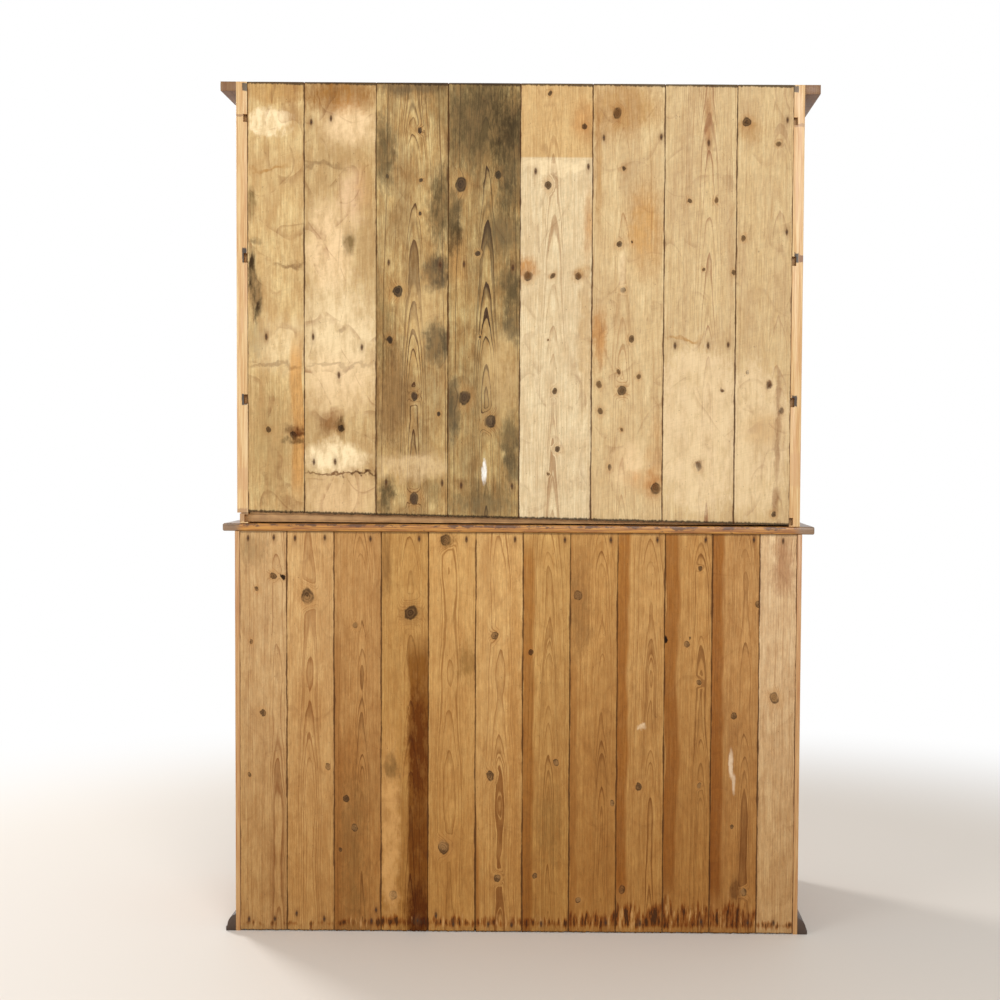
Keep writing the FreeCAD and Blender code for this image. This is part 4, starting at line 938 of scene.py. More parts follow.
upper_boards[2] = dict(
    x=(343, 515), tone=shade(201, 172, 123), late=shade(165, 131, 86), pith=(-120, 60, 0.01, 8), ring=3.6,
    line=0.42, blotch=0.4, knots=[(425, 1222, 7)],
    nails=[(498, 1950), (451, 1959), (494, 1441), (377, 1417), (432, 1350), (492, 1141), (441, 1143)],
    patches=[
        (408, 1950, 58, 50, straw, 0.75), (455, 1650, 52, 100, straw, 0.7, 0.5),
        (400, 1780, 30, 60, shade(226, 190, 150), 0.6), (430, 1440, 88, 120, pale, 0.62),
        (430, 1330, 80, 70, straw, 0.5), (440, 1152, 70, 36, pale, 0.85, 0.4),
        (430, 1050, 80, 60, shade(228, 192, 146), 0.5, 0.5),
    ],
    stains=[
        (430, 2016, 95, 38, shade(194, 156, 104), 0.8, 0.5), (408, 1668, 13, 26, mildew, 0.95),
        (450, 1236, 30, 30, shade(186, 160, 140), 0.9), (427, 1222, 10, 20, mildew, 0.8, 0.5),
        (430, 1372, 90, 5, umber, 0.32), (430, 1112, 90, 3, umber, 0.75, 0.5),
        (375, 1112, 30, 4, umber, 0.6, 0.5), (470, 1850, 55, 5, umber, 0.35),
        (370, 1800, 22, 60, tea, 0.4), (425, 1455, 10, 6, umber, 0.4, 0.5),
    ],
    strips=[(430, 433, 1560, 1890, shade(150, 104, 66), 0.8)],
)
upper_boards[3] = dict(
    x=(171, 343), tone=shade(200, 171, 117), late=shade(96, 68, 45), pith=(-4, 30, 0.036, 6), ring=4.2,
    line=1.3, blotch=0.35,
    knots=[
        (238, 1932, 5), (317, 1824, 3), (239, 1813, 4), (239, 1735, 4), (291, 1551, 11), (312, 1435, 7),
        (250, 1299, 8), (193, 1258, 4), (252, 1056, 10),
    ],
    nails=[(313, 1620), (190, 1614), (319, 1094), (184, 1093)],
    patches=[
        (255, 1132, 84, 30, shade(222, 192, 146), 0.6, 0.5),
        (225, 1500, 40, 80, shade(206, 172, 120), 0.4), (322, 1875, 24, 80, smoke, 0.58),
        (190, 1745, 24, 84, smoke, 0.62), (197, 1596, 26, 30, shade(64, 56, 50), 0.62),
        (196, 1425, 26, 40, smoke, 0.68), (322, 1060, 20, 36, smoke, 0.68),
        (255, 2036, 90, 12, smoke, 0.5),
    ],
    stains=[
        (326, 1880, 22, 70, mildew, 0.62), (190, 1752, 26, 78, mildew, 0.72),
        (196, 1600, 30, 36, soot, 0.5), (198, 1428, 27, 40, soot, 0.5), (326, 1460, 20, 110, mildew, 0.5),
        (305, 1300, 50, 130, shade(190, 172, 160), 0.8), (322, 1062, 18, 34, mildew, 0.76),
        (190, 1990, 26, 60, mildew, 0.42), (255, 2030, 90, 22, umber, 0.4, 0.5),
        (200, 1068, 26, 26, mildew, 0.42),
    ],
)
upper_boards[4] = dict(
    x=(-1, 171), tone=shade(190, 162, 109), late=shade(82, 63, 46), pith=(-6, 28, 0.036, 6), ring=4.2,
    line=1.3, blotch=0.3,
    knots=[(141, 1806, 13), (53, 1830, 8), (100, 1643, 5), (94, 1443, 3), (131, 1297, 13), (69, 1242, 12)],
    nails=[(133, 1617), (16, 1608), (138, 1088), (16, 1086)],
    patches=[
        (40, 1350, 40, 90, shade(200, 166, 116), 0.5), (90, 1960, 90, 90, smoke, 0.62),
        (20, 1880, 34, 110, smoke, 0.62), (156, 1712, 18, 70, smoke, 0.72), (36, 1692, 44, 40, smoke, 0.5),
        (16, 1560, 24, 46, smoke, 0.68), (16, 1470, 24, 36, smoke, 0.58), (158, 1268, 14, 70, smoke, 0.68),
        (20, 1170, 22, 70, smoke, 0.58), (85, 1040, 84, 26, smoke, 0.5),
        (83, 1122, 6, 26, shade(240, 236, 228), 0.95, 0.3),
    ],
    stains=[
        (90, 1955, 100, 110, mildew, 0.72), (24, 1900, 44, 120, mildew, 0.58),
        (22, 1775, 34, 44, soot, 0.46), (158, 1710, 18, 66, mildew, 0.8), (40, 1690, 50, 60, mildew, 0.42),
        (18, 1560, 30, 50, mildew, 0.68), (18, 1476, 30, 36, soot, 0.42), (158, 1270, 16, 66, soot, 0.42),
        (20, 1200, 22, 50, mildew, 0.5), (18, 1140, 24, 40, soot, 0.42), (85, 1080, 80, 20, umber, 0.3),
        (85, 1050, 90, 30, mildew, 0.34), (150, 1630, 22, 60, rust, 0.45),
    ],
)
upper_boards[5] = dict(
    x=(-173, -1), tone=shade(222, 201, 161), late=shade(173, 140, 102), pith=(6, 34, 0.03, 6), ring=4.4,
    line=0.8, blotch=0.2,
    knots=[
        (-70, 2022, 5), (-154, 1943, 5), (-67, 1805, 8), (-20, 1589, 9), (-80, 1589, 5), (-140, 1590, 7),
        (-69, 1437, 2), (-85, 1315, 6), (-92, 1174, 6), (-73, 1115, 3),
    ],
    nails=[(-37, 1837), (-163, 1849)], patches=[(-88, 1850, 76, 18, pale, 0.45, 0.2)],
    stains=[
        (-16, 1612, 26, 26, rust, 0.75), (-146, 1600, 18, 16, tea, 0.5), (-165, 1710, 12, 70, rust, 0.5),
        (-150, 1955, 26, 40, rust, 0.4), (-160, 1450, 16, 160, tea, 0.4),
    ],
    fade=(shade(238, 218, 186), 1868, 1873, 0.9),
)
upper_boards[6] = dict(
    x=(-345, -173), tone=shade(213, 187, 141), late=shade(166, 125, 83), pith=(12, 32, 0.03, 6), ring=4.2,
    line=0.7, blotch=0.3,
    knots=[
        (-230, 1976, 10), (-245, 1844, 5), (-239, 1666, 6), (-268, 1671, 3), (-247, 1557, 6),
        (-269, 1439, 7), (-236, 1362, 4), (-287, 1353, 5), (-247, 1319, 9), (-192, 1333, 6),
        (-194, 1268, 6), (-247, 1223, 4), (-219, 1132, 5), (-330, 1084, 11),
    ],
    nails=[(-199, 1918), (-336, 1920)],
    patches=[(-245, 1600, 8, 50, pale, 0.45), (-270, 1140, 40, 50, straw, 0.5)],
    stains=[
        (-240, 1985, 90, 60, tea, 0.6, 0.5), (-190, 1440, 16, 66, rust, 0.6),
        (-330, 1160, 18, 100, rust, 0.35), (-310, 1100, 44, 24, rust, 0.45),
        (-300, 1700, 40, 100, shade(234, 206, 170), 0.8), (-187, 1850, 8, 150, tea, 0.5),
    ],
)
upper_boards[7] = dict(
    x=(-517, -345), tone=shade(211, 185, 139), late=shade(152, 108, 76), pith=(-20, 26, 0.032, 5), ring=4.0,
    line=0.9, blotch=0.2,
    knots=[
        (-404, 1772, 5), (-468, 1772, 5), (-440, 1608, 3), (-512, 1600, 5), (-486, 1318, 4),
        (-433, 1135, 7),
    ],
    nails=[(-373, 1425), (-452, 1427), (-500, 1428), (-449, 1907)],
    patches=[(-431, 1225, 110, 204, cream, 0.5, 0.14)],
    stains=[
        (-392, 1440, 34, 6, tea, 0.7, 0.5), (-449, 1960, 10, 70, shade(196, 148, 116), 0.6),
        (-433, 1135, 8, 9, umber, 0.85, 0.5), (-486, 1318, 4, 5, umber, 0.8, 0.5),
    ],
)
upper_boards[8] = dict(
    x=(-651, -517), tone=shade(208, 181, 135), late=shade(156, 117, 85), pith=(-38, 90, 0.02, 7), ring=3.0,
    line=0.55, blotch=0.25,
    knots=[
        (-541, 1957, 9), (-616, 1906, 5), (-533, 1683, 5), (-547, 1364, 4), (-600, 1331, 6),
        (-628, 1273, 5), (-614, 1024, 6),
    ],
    nails=[(-636, 1962), (-637, 1697)], patches=[(-560, 1200, 90, 186, cream, 0.45, 0.14)],
    stains=[
        (-622, 1320, 6, 40, dusk, 0.6, 0.5), (-622, 1235, 7, 46, dusk, 0.6, 0.5),
        (-620, 1160, 6, 50, dusk, 0.6, 0.5), (-618, 1060, 9, 34, dusk, 0.6, 0.5),
        (-590, 1230, 40, 40, tea, 0.35), (-545, 1940, 24, 26, tea, 0.5),
        (-600, 1331, 7, 8, umber, 0.85, 0.5), (-628, 1273, 6, 7, umber, 0.75, 0.5),
    ],
)
print("marks on the upper boards", sum(len(marks["stains"]) for marks in upper_boards.values()))

# %% Nailing up the upper back
END_SLOPE = 0.0184


def end_height(x):
    """How high the upper back boards end over the floor at a place across, in millimetres."""
    return 995.0 + 24.0 * (x + 651.0) / 1302.0


pale_kind = dict(heart=shade(112, 82, 50), rim=shade(62, 44, 28), mottle=0.08, grit=0.7, smears=0.2)
damp_kind = dict(pale_kind, mottle=0.16, smears=0.32)
dark_kind = dict(heart=shade(78, 60, 44), rim=shade(40, 32, 27), mottle=0.24, grit=1.0, smears=0.2)
kinds = {1: damp_kind, 2: damp_kind, 3: dark_kind, 4: dark_kind}
for number, marks in upper_boards.items():
    marks = {**kinds.get(number, pale_kind), **marks, "level": 1500, "saw": 0.22, "end_slope": END_SLOPE}
    x_range = marks.pop("x")
    marks["ends"] = [(2045, 12, 0.85), (end_height(sum(x_range) / 2), 13, 0.9)]
    finish = sawn_board(f"upper_board_{number}_pine", x_range, **marks)
    name, node = f"upper_board_{number}", f"upper_back_board_{number}"
    nailed_board(name, x_range, end_height, 2045, 13.0, finish, node, "upper_back_pine", 3.0)
print("upper back boards", len(upper_boards))

# %% [markdown]
# ## The marks of the lower back
#
# The base is closed with twelve narrow matchboards of the same breadth, planed once and gone
# a warm orange brown. They darken downwards, the lowest few centimetres have rotted on a damp
# floor, and old glue or polish has left dark stripes beside some joints. One or two nails hold
# each of them at its top and at its foot. They are listed in the same way.

# %% Marks of the lower boards
bark, chalk = shade(212, 184, 148), shade(226, 202, 172)
lower_boards = {}
lower_boards[1] = dict(
    tone=shade(200, 165, 117), late=shade(152, 109, 69), pith=(-34, 26, 0.016, 9), ring=4.5,
    knots=[(630, 834, 5), (644, 708, 4), (616, 533, 7), (649, 384, 4), (591, 866, 7), (568, 864, 5)],
    nails=[(651, 957), (589, 958), (651, 29), (588, 29)], rot=(26, 0.7),
    stains=[(640, 930, 30, 30, mildew, 0.4), (568, 864, 6, 7, soot, 1.3, 0.4)],
)
lower_boards[2] = dict(
    tone=shade(204, 165, 111), late=shade(151, 105, 61), pith=(2, 28, 0.014, 10), ring=4.2,
    knots=[(509, 818, 14), (459, 403, 6)], nails=[(538, 958), (466, 959), (468, 30), (535, 44)],
    rot=(26, 0.7), stains=[(500, 560, 40, 60, tea, 0.3)],
)
lower_boards[3] = dict(
    tone=shade(185, 141, 87), late=shade(131, 90, 49), pith=(-10, 16, 0.03, 11), ring=2.8,
    knots=[(393, 746, 6), (415, 327, 8), (427, 201, 4), (395, 254, 7)],
    nails=[(356, 957), (342, 53), (353, 26)], rot=(34, 0.8),
    stains=[(400, 180, 30, 200, mildew, 0.35), (405, 420, 26, 80, tea, 0.4)],
    strips=[(446, 424, -90, 760, bark, 0.5)],
)
lower_boards[4] = dict(
    tone=shade(188, 145, 85), late=shade(132, 88, 43), pith=(-14, 30, 0.03, 8), ring=3.6,
    knots=[(259, 779, 15), (300, 90, 9)], nails=[(239, 958), (241, 27)], rot=(44, 0.9),
    patches=[(310, 260, 24, 210, shade(206, 158, 98), 0.6, 0.5)],
    stains=[
        (306, 400, 18, 34, mildew, 0.8, 0.4), (240, 452, 26, 130, shade(206, 178, 130), 1.0, 0.5),
        (240, 210, 24, 70, shade(232, 216, 186), 0.8), (240, 50, 34, 60, shade(194, 168, 124), 1.0, 0.5),
        (320, 900, 12, 70, umber, 0.4), (259, 779, 24, 30, mildew, 0.3, 0.5),
    ],
    strips=[(212, 266, -90, 745, shade(184, 158, 118), 1.0)],
)
lower_boards[5] = dict(
    tone=shade(199, 156, 96), late=shade(148, 103, 53), pith=(6, 34, 0.01, 12), ring=4.4,
    knots=[(177, 956, 12), (179, 207, 13)], nails=[(125, 958), (154, 20), (196, 40)], rot=(40, 0.9),
    stains=[(177, 950, 16, 22, mildew, 0.6, 0.5), (122, 660, 22, 40, shade(150, 130, 70), 0.5)],
)
lower_boards[6] = dict(
    tone=shade(206, 165, 106), late=shade(153, 108, 61), pith=(-2, 28, 0.016, 12), ring=4.4,
    knots=[(56, 724, 8), (66, 384, 9), (48, 134, 8)], nails=[(8, 959), (69, 20), (12, 18)], rot=(42, 0.9),
    stains=[(8, 500, 16, 400, tea, 0.4)], strips=[(104, 92, -90, 337, bark, 0.8)],
)
lower_boards[7] = dict(
    tone=shade(194, 152, 92), late=shade(141, 97, 50), pith=(-6, 18, 0.035, 9), ring=3.0,
    knots=[(-32, 684, 6), (-94, 419, 7), (-44, 139, 6)], nails=[(-112, 958), (-60, 22)], rot=(40, 0.9),
    stains=[(-80, 260, 30, 90, mildew, 0.3)], strips=[(-10, -40, -90, 990, bark, 0.85)],
)
lower_boards[8] = dict(
    tone=shade(185, 140, 82), late=shade(135, 90, 46), pith=(-20, 20, 0.03, 10), ring=2.8,
    knots=[(-144, 825, 9), (-230, 318, 6), (-149, 82, 6)], nails=[(-223, 958), (-217, 25)], rot=(58, 0.9),
    stains=[(-148, 790, 24, 110, umber, 0.35), (-200, 420, 30, 80, shade(226, 214, 200), 0.5)],
    strips=[(-124, -142, -90, 700, bark, 0.5)],
)
lower_boards[9] = dict(
    tone=shade(194, 151, 93), late=shade(140, 95, 50), pith=(-24, 22, 0.028, 10), ring=3.0,
    knots=[(-295, 359, 8), (-256, 109, 8)], nails=[(-335, 959), (-300, 24)], rot=(82, 0.95),
    patches=[(-300, 505, 10, 6, shade(214, 184, 146), 0.8, 0.4)],
    strips=[(-238, -270, 40, 1060, bark, 1.0)],
)
lower_boards[10] = dict(
    tone=shade(185, 140, 83), late=shade(133, 90, 47), pith=(-32, 18, 0.03, 11), ring=2.6,
    knots=[(-437, 892, 5), (-408, 706, 6), (-415, 720, 3), (-438, 615, 6), (-441, 365, 5), (-357, 719, 4)],
    nails=[(-451, 960), (-449, 29)], rot=(84, 0.95), stains=[(-357, 719, 5, 8, soot, 1.3, 0.4)],
    strips=[(-352, -388, 60, 1060, bark, 0.9)],
)
lower_boards[11] = dict(
    tone=shade(185, 140, 86), late=shade(133, 90, 50), pith=(-24, 24, 0.026, 10), ring=3.2,
    knots=[(-578, 806, 7), (-524, 534, 7), (-522, 265, 4), (-552, 104, 8)], nails=[(-567, 961), (-562, 28)],
    rot=(84, 0.95), patches=[(-518, 420, 5, 34, chalk, 0.6, 0.5), (-524, 374, 4, 24, chalk, 0.55, 0.5)],
    stains=[(-530, 110, 12, 30, umber, 0.6, 0.5)], strips=[(-466, -498, 40, 1060, bark, 1.0)],
)
lower_boards[12] = dict(
    tone=shade(213, 182, 140), late=shade(163, 123, 86), pith=(-60, 40, 0.004, 10), ring=5.0,
    knots=[(-620, 578, 11)], nails=[(-637, 959), (-625, 28)], rot=(34, 0.8),
    stains=[(-640, 900, 26, 60, shade(196, 160, 140), 0.6)],
)
print("nails in the lower boards", sum(len(marks["nails"]) for marks in lower_boards.values()))

# %% Nailing up the lower back
COVER = 114
HALF_BASE = 672
lower_kind = dict(
    heart=shade(146, 108, 66), rim=shade(64, 42, 24), fade=(shade(222, 208, 184), 900, 40, 1.0),
    line=1.0, blotch=0.2, mottle=0.12, grit=0.7, smears=0.12, saw=0.14,
    level=500, ends=[(974, 8, 0.5), (0, 8, 0.7)], end_slope=0.0,
)


def flat_end(x):
    """The matchboards end level, just over the floor."""
    return 0.3


for number, marks in lower_boards.items():
    high_x = HALF_BASE - COVER * (number - 1)
    x_range = (max(high_x - COVER, -HALF_BASE), high_x)
    finish = sawn_board(f"lower_board_{number}_pine", x_range, **lower_kind, **marks)
    name, opened = f"lower_board_{number}", 337 if number == 6 else None
    nailed_board(
        name, x_range, flat_end, 974, 12.0, finish, "lower_back_boards", "base_back_pine", 3.4, opened
    )
print("lower back boards", len(lower_boards))

# %% [markdown]
# ## Nails
#
# Cut nails hold the boards. A head is small, a little domed and sunk level with the wood, so
# one low cone is enough, repeated wherever the marks of a board say. All the heads of one back
# are one piece.

# %% Nail heads


def dome(bm, place, segments, radius, crown, height):
    """A low round head, in millimetres: crown is how wide its top is beside its foot."""
    cone = bmesh.ops.create_cone(
        bm, cap_ends=True, segments=segments, radius1=radius * MM, radius2=radius * crown * MM,
        depth=height * MM, matrix=place,
    )
    return cone["verts"]


def nail_heads(name, boards, radius):
    """The nail heads of one back, each a little taller than it is wide."""
    bm = bmesh.new()
    places = [place for marks in boards.values() for place in marks["nails"]]
    for x, z in places:
        place = Matrix.Translation(Vector((x, BACK - 0.45, z)) * MM)
        place = place @ Matrix.Rotation(math.radians(-90), 4, "X") @ Matrix.Diagonal((0.62, 1.0, 1.0, 1.0))
        dome(bm, place, 9, radius, 0.6, 0.7)
    finish_piece(bm, name, "carcass", nail_iron, (), "screw_iron")
    print(name, len(places))


nail_heads("upper_nails", upper_boards, 1.9)
nail_heads("lower_nails", lower_boards, 2.6)

# %% [markdown]
# ## Boards and rails taken from their solids
#
# Sides with housings, dovetailed drawers and mitred mouldings have exactly the right shape
# already. Modelling them again would only risk a gap. A copy of such a solid is merged into a
# clean mesh, its flat faces are joined, and its sharp edges are rounded, which is all that a
# hand-planed piece differs by. Each separate board of a solid becomes a piece of its own, so
# that each has its own grain.

# %% Copies of solids


def connected(vert, waiting):
    """The numbers of all points that hang together with one, which are taken out of waiting."""
    open_ends, shell = [vert], set()
    while open_ends:
        v = open_ends.pop()
        shell.add(v.index)
        for other in [e.other_vert(v) for e in v.link_edges]:
            if other in waiting:
                waiting.discard(other)
                open_ends.append(other)
    return shell


def separate_boards(node):
    """The separate shells of a solid, each as a clean mesh with its flat faces joined."""
    whole = bmesh.new()
    whole.from_mesh(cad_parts[node].data)
    bmesh.ops.remove_doubles(whole, verts=whole.verts, dist=1e-5)
    waiting, shells, boards = set(whole.verts), [], []
    while waiting:
        shells.append(connected(waiting.pop(), waiting))
    for shell in sorted(shells, key=min):
        bm = whole.copy()
        bm.verts.ensure_lookup_table()
        bmesh.ops.delete(bm, geom=[v for v in bm.verts if v.index not in shell], context="VERTS")
        bmesh.ops.dissolve_limit(bm, angle_limit=math.radians(1.0), verts=bm.verts, edges=bm.edges)
        boards.append(bm)
    whole.free()
    return boards


def soften(bm, rounding, segments=2, pick=None):
    """Rounds the sharp edges of a mesh, or only those that pick says yes to."""
    sharp = [e for e in bm.edges if e.is_manifold and e.calc_face_angle(0) > math.radians(25)]
    sharp = [e for e in sharp if pick is None or pick((e.verts[0].co + e.verts[1].co) / 2 / MM)]
    bevel(bm, sharp, rounding, segments, clamp=True)
    return bm


def from_solid(node, body, finish, slot, run, face, rounding=0.8):
    """Pieces for every separate board of a solid, under the solid's own name."""
    boards = separate_boards(node)
    for count, bm in enumerate(boards, start=1):
        name = f"{node}_wood" if len(boards) == 1 else f"{node}_wood_{count}"
        finish_piece(soften(bm, rounding), name, body, finish, [node], slot, run, face)
    return len(boards)


print("solids to copy from", len(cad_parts))

# %% [markdown]
# ## The carcasses, the mouldings and the drawers
#
# Each solid is listed with the way its grain runs and the way its face looks: stiles stand,
# rails and shelves lie across, runners point to the back. One batten lies behind the climbing
# ends of the upper back's boards, so that no light falls through below them.

# %% Carcass, mouldings and drawers
made = 0
for finish, slot, nodes in (
    ("case_pine", "case_pine", dict(
        upper_stiles=(Z, Y), upper_frieze_rail=(X, Y), upper_bottom_rail=(X, Y), lower_stiles=(Z, Y),
        lower_top_rail=(X, Y), drawer_rail=(X, Y), lower_bottom_rail=(X, Y), drawer_divider=(Z, Y),
    )),
    ("base_side_pine", "case_pine", dict(lower_side_left=(Z, X), lower_side_right=(Z, X))),
    ("inside_pine", "inside_pine", dict(
        upper_top_board=(X, Z), upper_bottom_board=(X, Z), upper_high_shelf=(X, Z), upper_low_shelf=(X, Z),
        lower_bottom_board=(X, Z), lower_shelf=(X, Z), lower_back_rails=(X, Y), drawer_runners=(Y, Z),
        drawer_kickers=(Y, Z), drawer_guides=(Y, X),
    )),
    ("cornice_pine", "moulding_pine", dict(cornice_front=(X, Z), cornice_returns=(Y, Z))),
    ("plinth_pine", "moulding_pine", dict(plinth_front=(X, Z), plinth_returns=(Y, Z))),
):
    for node, grain in nodes.items():
        made += from_solid(node, "carcass", pine[finish], slot, *grain)
for side in ("left", "right"):
    for part, grain in (("box", (Y, X)), ("bottom", (X, Z))):
        node, body = f"drawer_{side}_{part}", f"drawer_{side}"
        made += from_solid(node, body, pine["inside_pine"], "inside_pine", *grain, 0.5)
bm = worn(block((-650.8, 228.0, 1014.1), (650.8, 238.9, 1027.0), 1.2, (30, 0, 0)), 0.5, 7.0)
finish_piece(bm, "foot_batten", "carcass", pine["inside_pine"], (), "inside_pine", X, Y)
print("boards from solids", made)

# %% [markdown]
# ## The upper case's sides
#
# Their rear edges were sawn fresh when the case was cut down, so they are paler than anything
# else, and the shelves' housings run out through them as dark notches. On one side the foot
# was mended with a small block. The notch for it is cut with a Boolean, whose result is
# applied, because cutting and closing an L-shaped notch by hand is easily left open.

# %% The sides and the mended foot


def carve(piece, low, high):
    """Takes a box out of a piece for good."""
    cutter = mesh_object("cutter", block(low, high, rounding=0))
    change = piece.modifiers.new("carve", "BOOLEAN")
    change.operation, change.object, change.solver = "DIFFERENCE", cutter, "EXACT"
    graph = bpy.context.evaluated_depsgraph_get()
    carved = bpy.data.meshes.new_from_object(piece.evaluated_get(graph))
    piece.modifiers.clear()
    piece.data = carved
    bpy.data.objects.remove(cutter)


sides = {}
for side, finish in (("left", "far_side_pine"), ("right", "near_side_pine")):
    node = f"upper_side_{side}"
    bm = soften(separate_boards(node)[0], 0.8)
    sides[side] = finish_piece(bm, f"{node}_wood", "carcass", pine[finish], [node], "case_pine", Z, X)
carve(sides["right"], (670.4, 214.0, 992.0), (678.0, 253.0, 1018.4))
carve(sides["right"], (640.0, 214.0, 1016.6), (678.0, 253.0, 1018.4))
print("upper sides", len(sides))

# %% [markdown]
# ## The slab
#
# The top of the base is the piece that people lean on. Its edges were rounded by hand and its
# corners are knocked. The cube is cut along its length and its points are moved, and the
# rounding is larger than anywhere else.

# %% The slab
low, high = (tuple(round(v / MM, 2) for v in corner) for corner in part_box("base_top"))
bm = worn(block(low, high, 4.0, (60, 16, 0), 4), 0.6, 3.0, 60.0)
finish_piece(bm, "slab", "carcass", pine["slab_pine"], ["base_top"], "slab_pine", X, Z)
print("slab", low, high)

# %% [markdown]
# ## Door frames
#
# A door is two stiles with two rails tenoned between them, and a moulding worked on the inner
# edges. Each member is a section drawn out along its length. The moulding's arris is rounded
# with a bevel, and a small step beside it, the quirk, gives it a shadow. A rail runs on into
# its stile under the moulding, and is a hair thinner, so that no two faces lie in one plane.

# %% Sections drawn out
QUIRK = 1.4
SEAT = 10.0
DOOR_THICK = 22.0
HAIR = 0.15


def other_axes(run):
    return [axis for axis in (X, Y, Z) if axis != run]


def drawn(section, run, start, end):
    """A bar: a section given on the two other axes, drawn out along one, all in millimetres."""
    bm = bmesh.new()
    ring = []
    for places in section:
        co = Vector()
        co[run] = start * MM
        for axis, place in zip(other_axes(run), places):
            co[axis] = place * MM
        ring.append(bm.verts.new(co))
    bm.faces.new(ring)
    grown = bmesh.ops.extrude_face_region(bm, geom=bm.faces[:])
    shift = Vector()
    shift[run] = (end - start) * MM
    bmesh.ops.translate(bm, vec=shift, verts=[g for g in grown["geom"] if isinstance(g, bmesh.types.BMVert)])
    return bm


def round_arris(bm, run, places, offset, segments):
    """Rounds the long edge that stands at a place of the section."""

    def stands_there(edge):
        spot = edge.verts[0].co / MM
        return all(abs(spot[axis] - place) < 0.02 for axis, place in zip(other_axes(run), places))

    bevel(bm, [edge for edge in edges_along(bm, run) if stands_there(edge)], offset, segments)


def member_section(low, high, opens_low, opens_high, face, moulding, rebate, back):
    """A member's outline from one long side to the other: moulded in front and rebated behind
    where a side faces an opening."""
    seat, wide = face + SEAT, moulding + 1.0
    outline = [(low + wide, face + QUIRK), (low + wide, face)] if opens_low else [(low, face)]
    outline += [(high - wide, face), (high - wide, face + QUIRK)] if opens_high else [(high, face)]
    if opens_high:
        outline += [(high, face + QUIRK)]
        outline += [(high, seat), (high - rebate, seat)] if rebate else []
    outline += [(high - (rebate if opens_high else 0), back), (low + (rebate if opens_low else 0), back)]
    if opens_low:
        outline += [(low + rebate, seat), (low, seat)] if rebate else []
        outline += [(low, face + QUIRK)]
    return outline


def door_member(name, body, run, length, low, high, opens, face, moulding, rebate):
    """One stile, rail or bar of a door: opens is which long sides are moulded, low and high."""
    lying = run == X
    back = face + DOOR_THICK - (HAIR if lying else 0.0)
    section = member_section(low, high, *opens, face, moulding, rebate, back)
    if lying:
        section = [(y, z) for z, y in section]
    bm = drawn(section, run, *length)
    for place, wanted in zip((low, high), opens):
        if wanted:
            spot = (face + QUIRK, place) if lying else (place, face + QUIRK)
            round_arris(bm, run, spot, moulding - 0.4, 6)
    finish_piece(bm, f"{body}_{name}", body, pine["case_pine"], [f"{body}_frame"], "case_pine", run, Y)


def mirrored(sign, low, high):
    """A span across the cupboard on the right side, or its mirror image on the left."""
    return (low, high) if sign > 0 else (-high, -low)


def door_frame(body, sign, face, spans, heights, moulding, rebate=0.0, upright=None, bars=()):
    """The members of a door. spans and heights each tell where the door starts, where its
    opening starts and ends, and where the door ends."""
    whole = (heights[0], heights[3])
    members = [
        ("inner_stile", spans[:2], whole, (False, True), face),
        ("outer_stile", spans[2:], whole, (True, False), face),
    ]
    if upright:
        members.append(("upright", upright, (heights[1] - 5, heights[2] + 5), (True, True), face + HAIR))
    for name, span, length, opens, front in members:
        opens = opens[::sign]
        door_member(name, body, Z, length, *mirrored(sign, *span), opens, front, moulding, rebate)
    across = mirrored(sign, spans[1] - moulding - 1, spans[2] + moulding + 1)
    members = [("bottom_rail", heights[:2], (False, True)), ("top_rail", heights[2:], (True, False))]
    members += [(f"bar_{count}", bar, (True, True)) for count, bar in enumerate(bars, start=1)]
    for name, (low, high), opens in members:
        door_member(name, body, X, across, low + 0.1, high - 0.1, opens, face, moulding, rebate)


print("a quirk of", QUIRK, "mm beside each moulding")

# %% [markdown]
# ## Turned knobs
#
# A knob is turned on a lathe, so it is spun: half of its outline is laid down as a few points
# joined by edges and swept round the axis. Its grain runs along its axis, as on a turned
# piece.

# %% Knobs
knob_outline = (
    (9.0, -0.8), (10.0, 0.4), (10.0, 1.8), (8.9, 2.8), (8.0, 4.4), (7.5, 7.4), (7.7, 10.4), (9.2, 12.4),
    (11.8, 14.4), (14.6, 17.2), (16.5, 20.6), (17.0, 24.0), (16.4, 27.4), (14.4, 30.4), (10.8, 32.7),
    (6.0, 33.8), (0.0, 34.0),
)


def knob(name, x, face, z, body, node):
    """A turned knob standing on a face, from its foot to its crown."""
    bm = bmesh.new()
    for radius, out in knob_outline:
        bm.verts.new(Vector((x + radius, face - out, z)) * MM)
    bm.verts.ensure_lookup_table()
    for first, second in zip(bm.verts[:-1], bm.verts[1:]):
        bm.edges.new((first, second))
    bmesh.ops.spin(
        bm, geom=bm.verts[:] + bm.edges[:], cent=Vector((x, face, z)) * MM, axis=(0, 1, 0),
        angle=math.tau, steps=36, use_merge=True,
    )
    bmesh.ops.remove_doubles(bm, verts=bm.verts, dist=1e-5)
    bmesh.ops.holes_fill(bm, edges=[e for e in bm.edges if e.is_boundary])
    finish_piece(bm, name, body, pine["knob_pine"], [node], "case_pine", Y, X, 50.0)


print("a knob stands out", knob_outline[-1][1], "mm")

# %% [markdown]
# ## The glazed doors
#
# Each upper door holds six panes between one upright bar and two bars across. The bars are
# moulded on both sides in front and rebated on both sides behind, where the panes lie in
# putty. Old glass isn't flat, so each pane is cut into small squares and its points are moved
# by about a tenth of a millimetre.

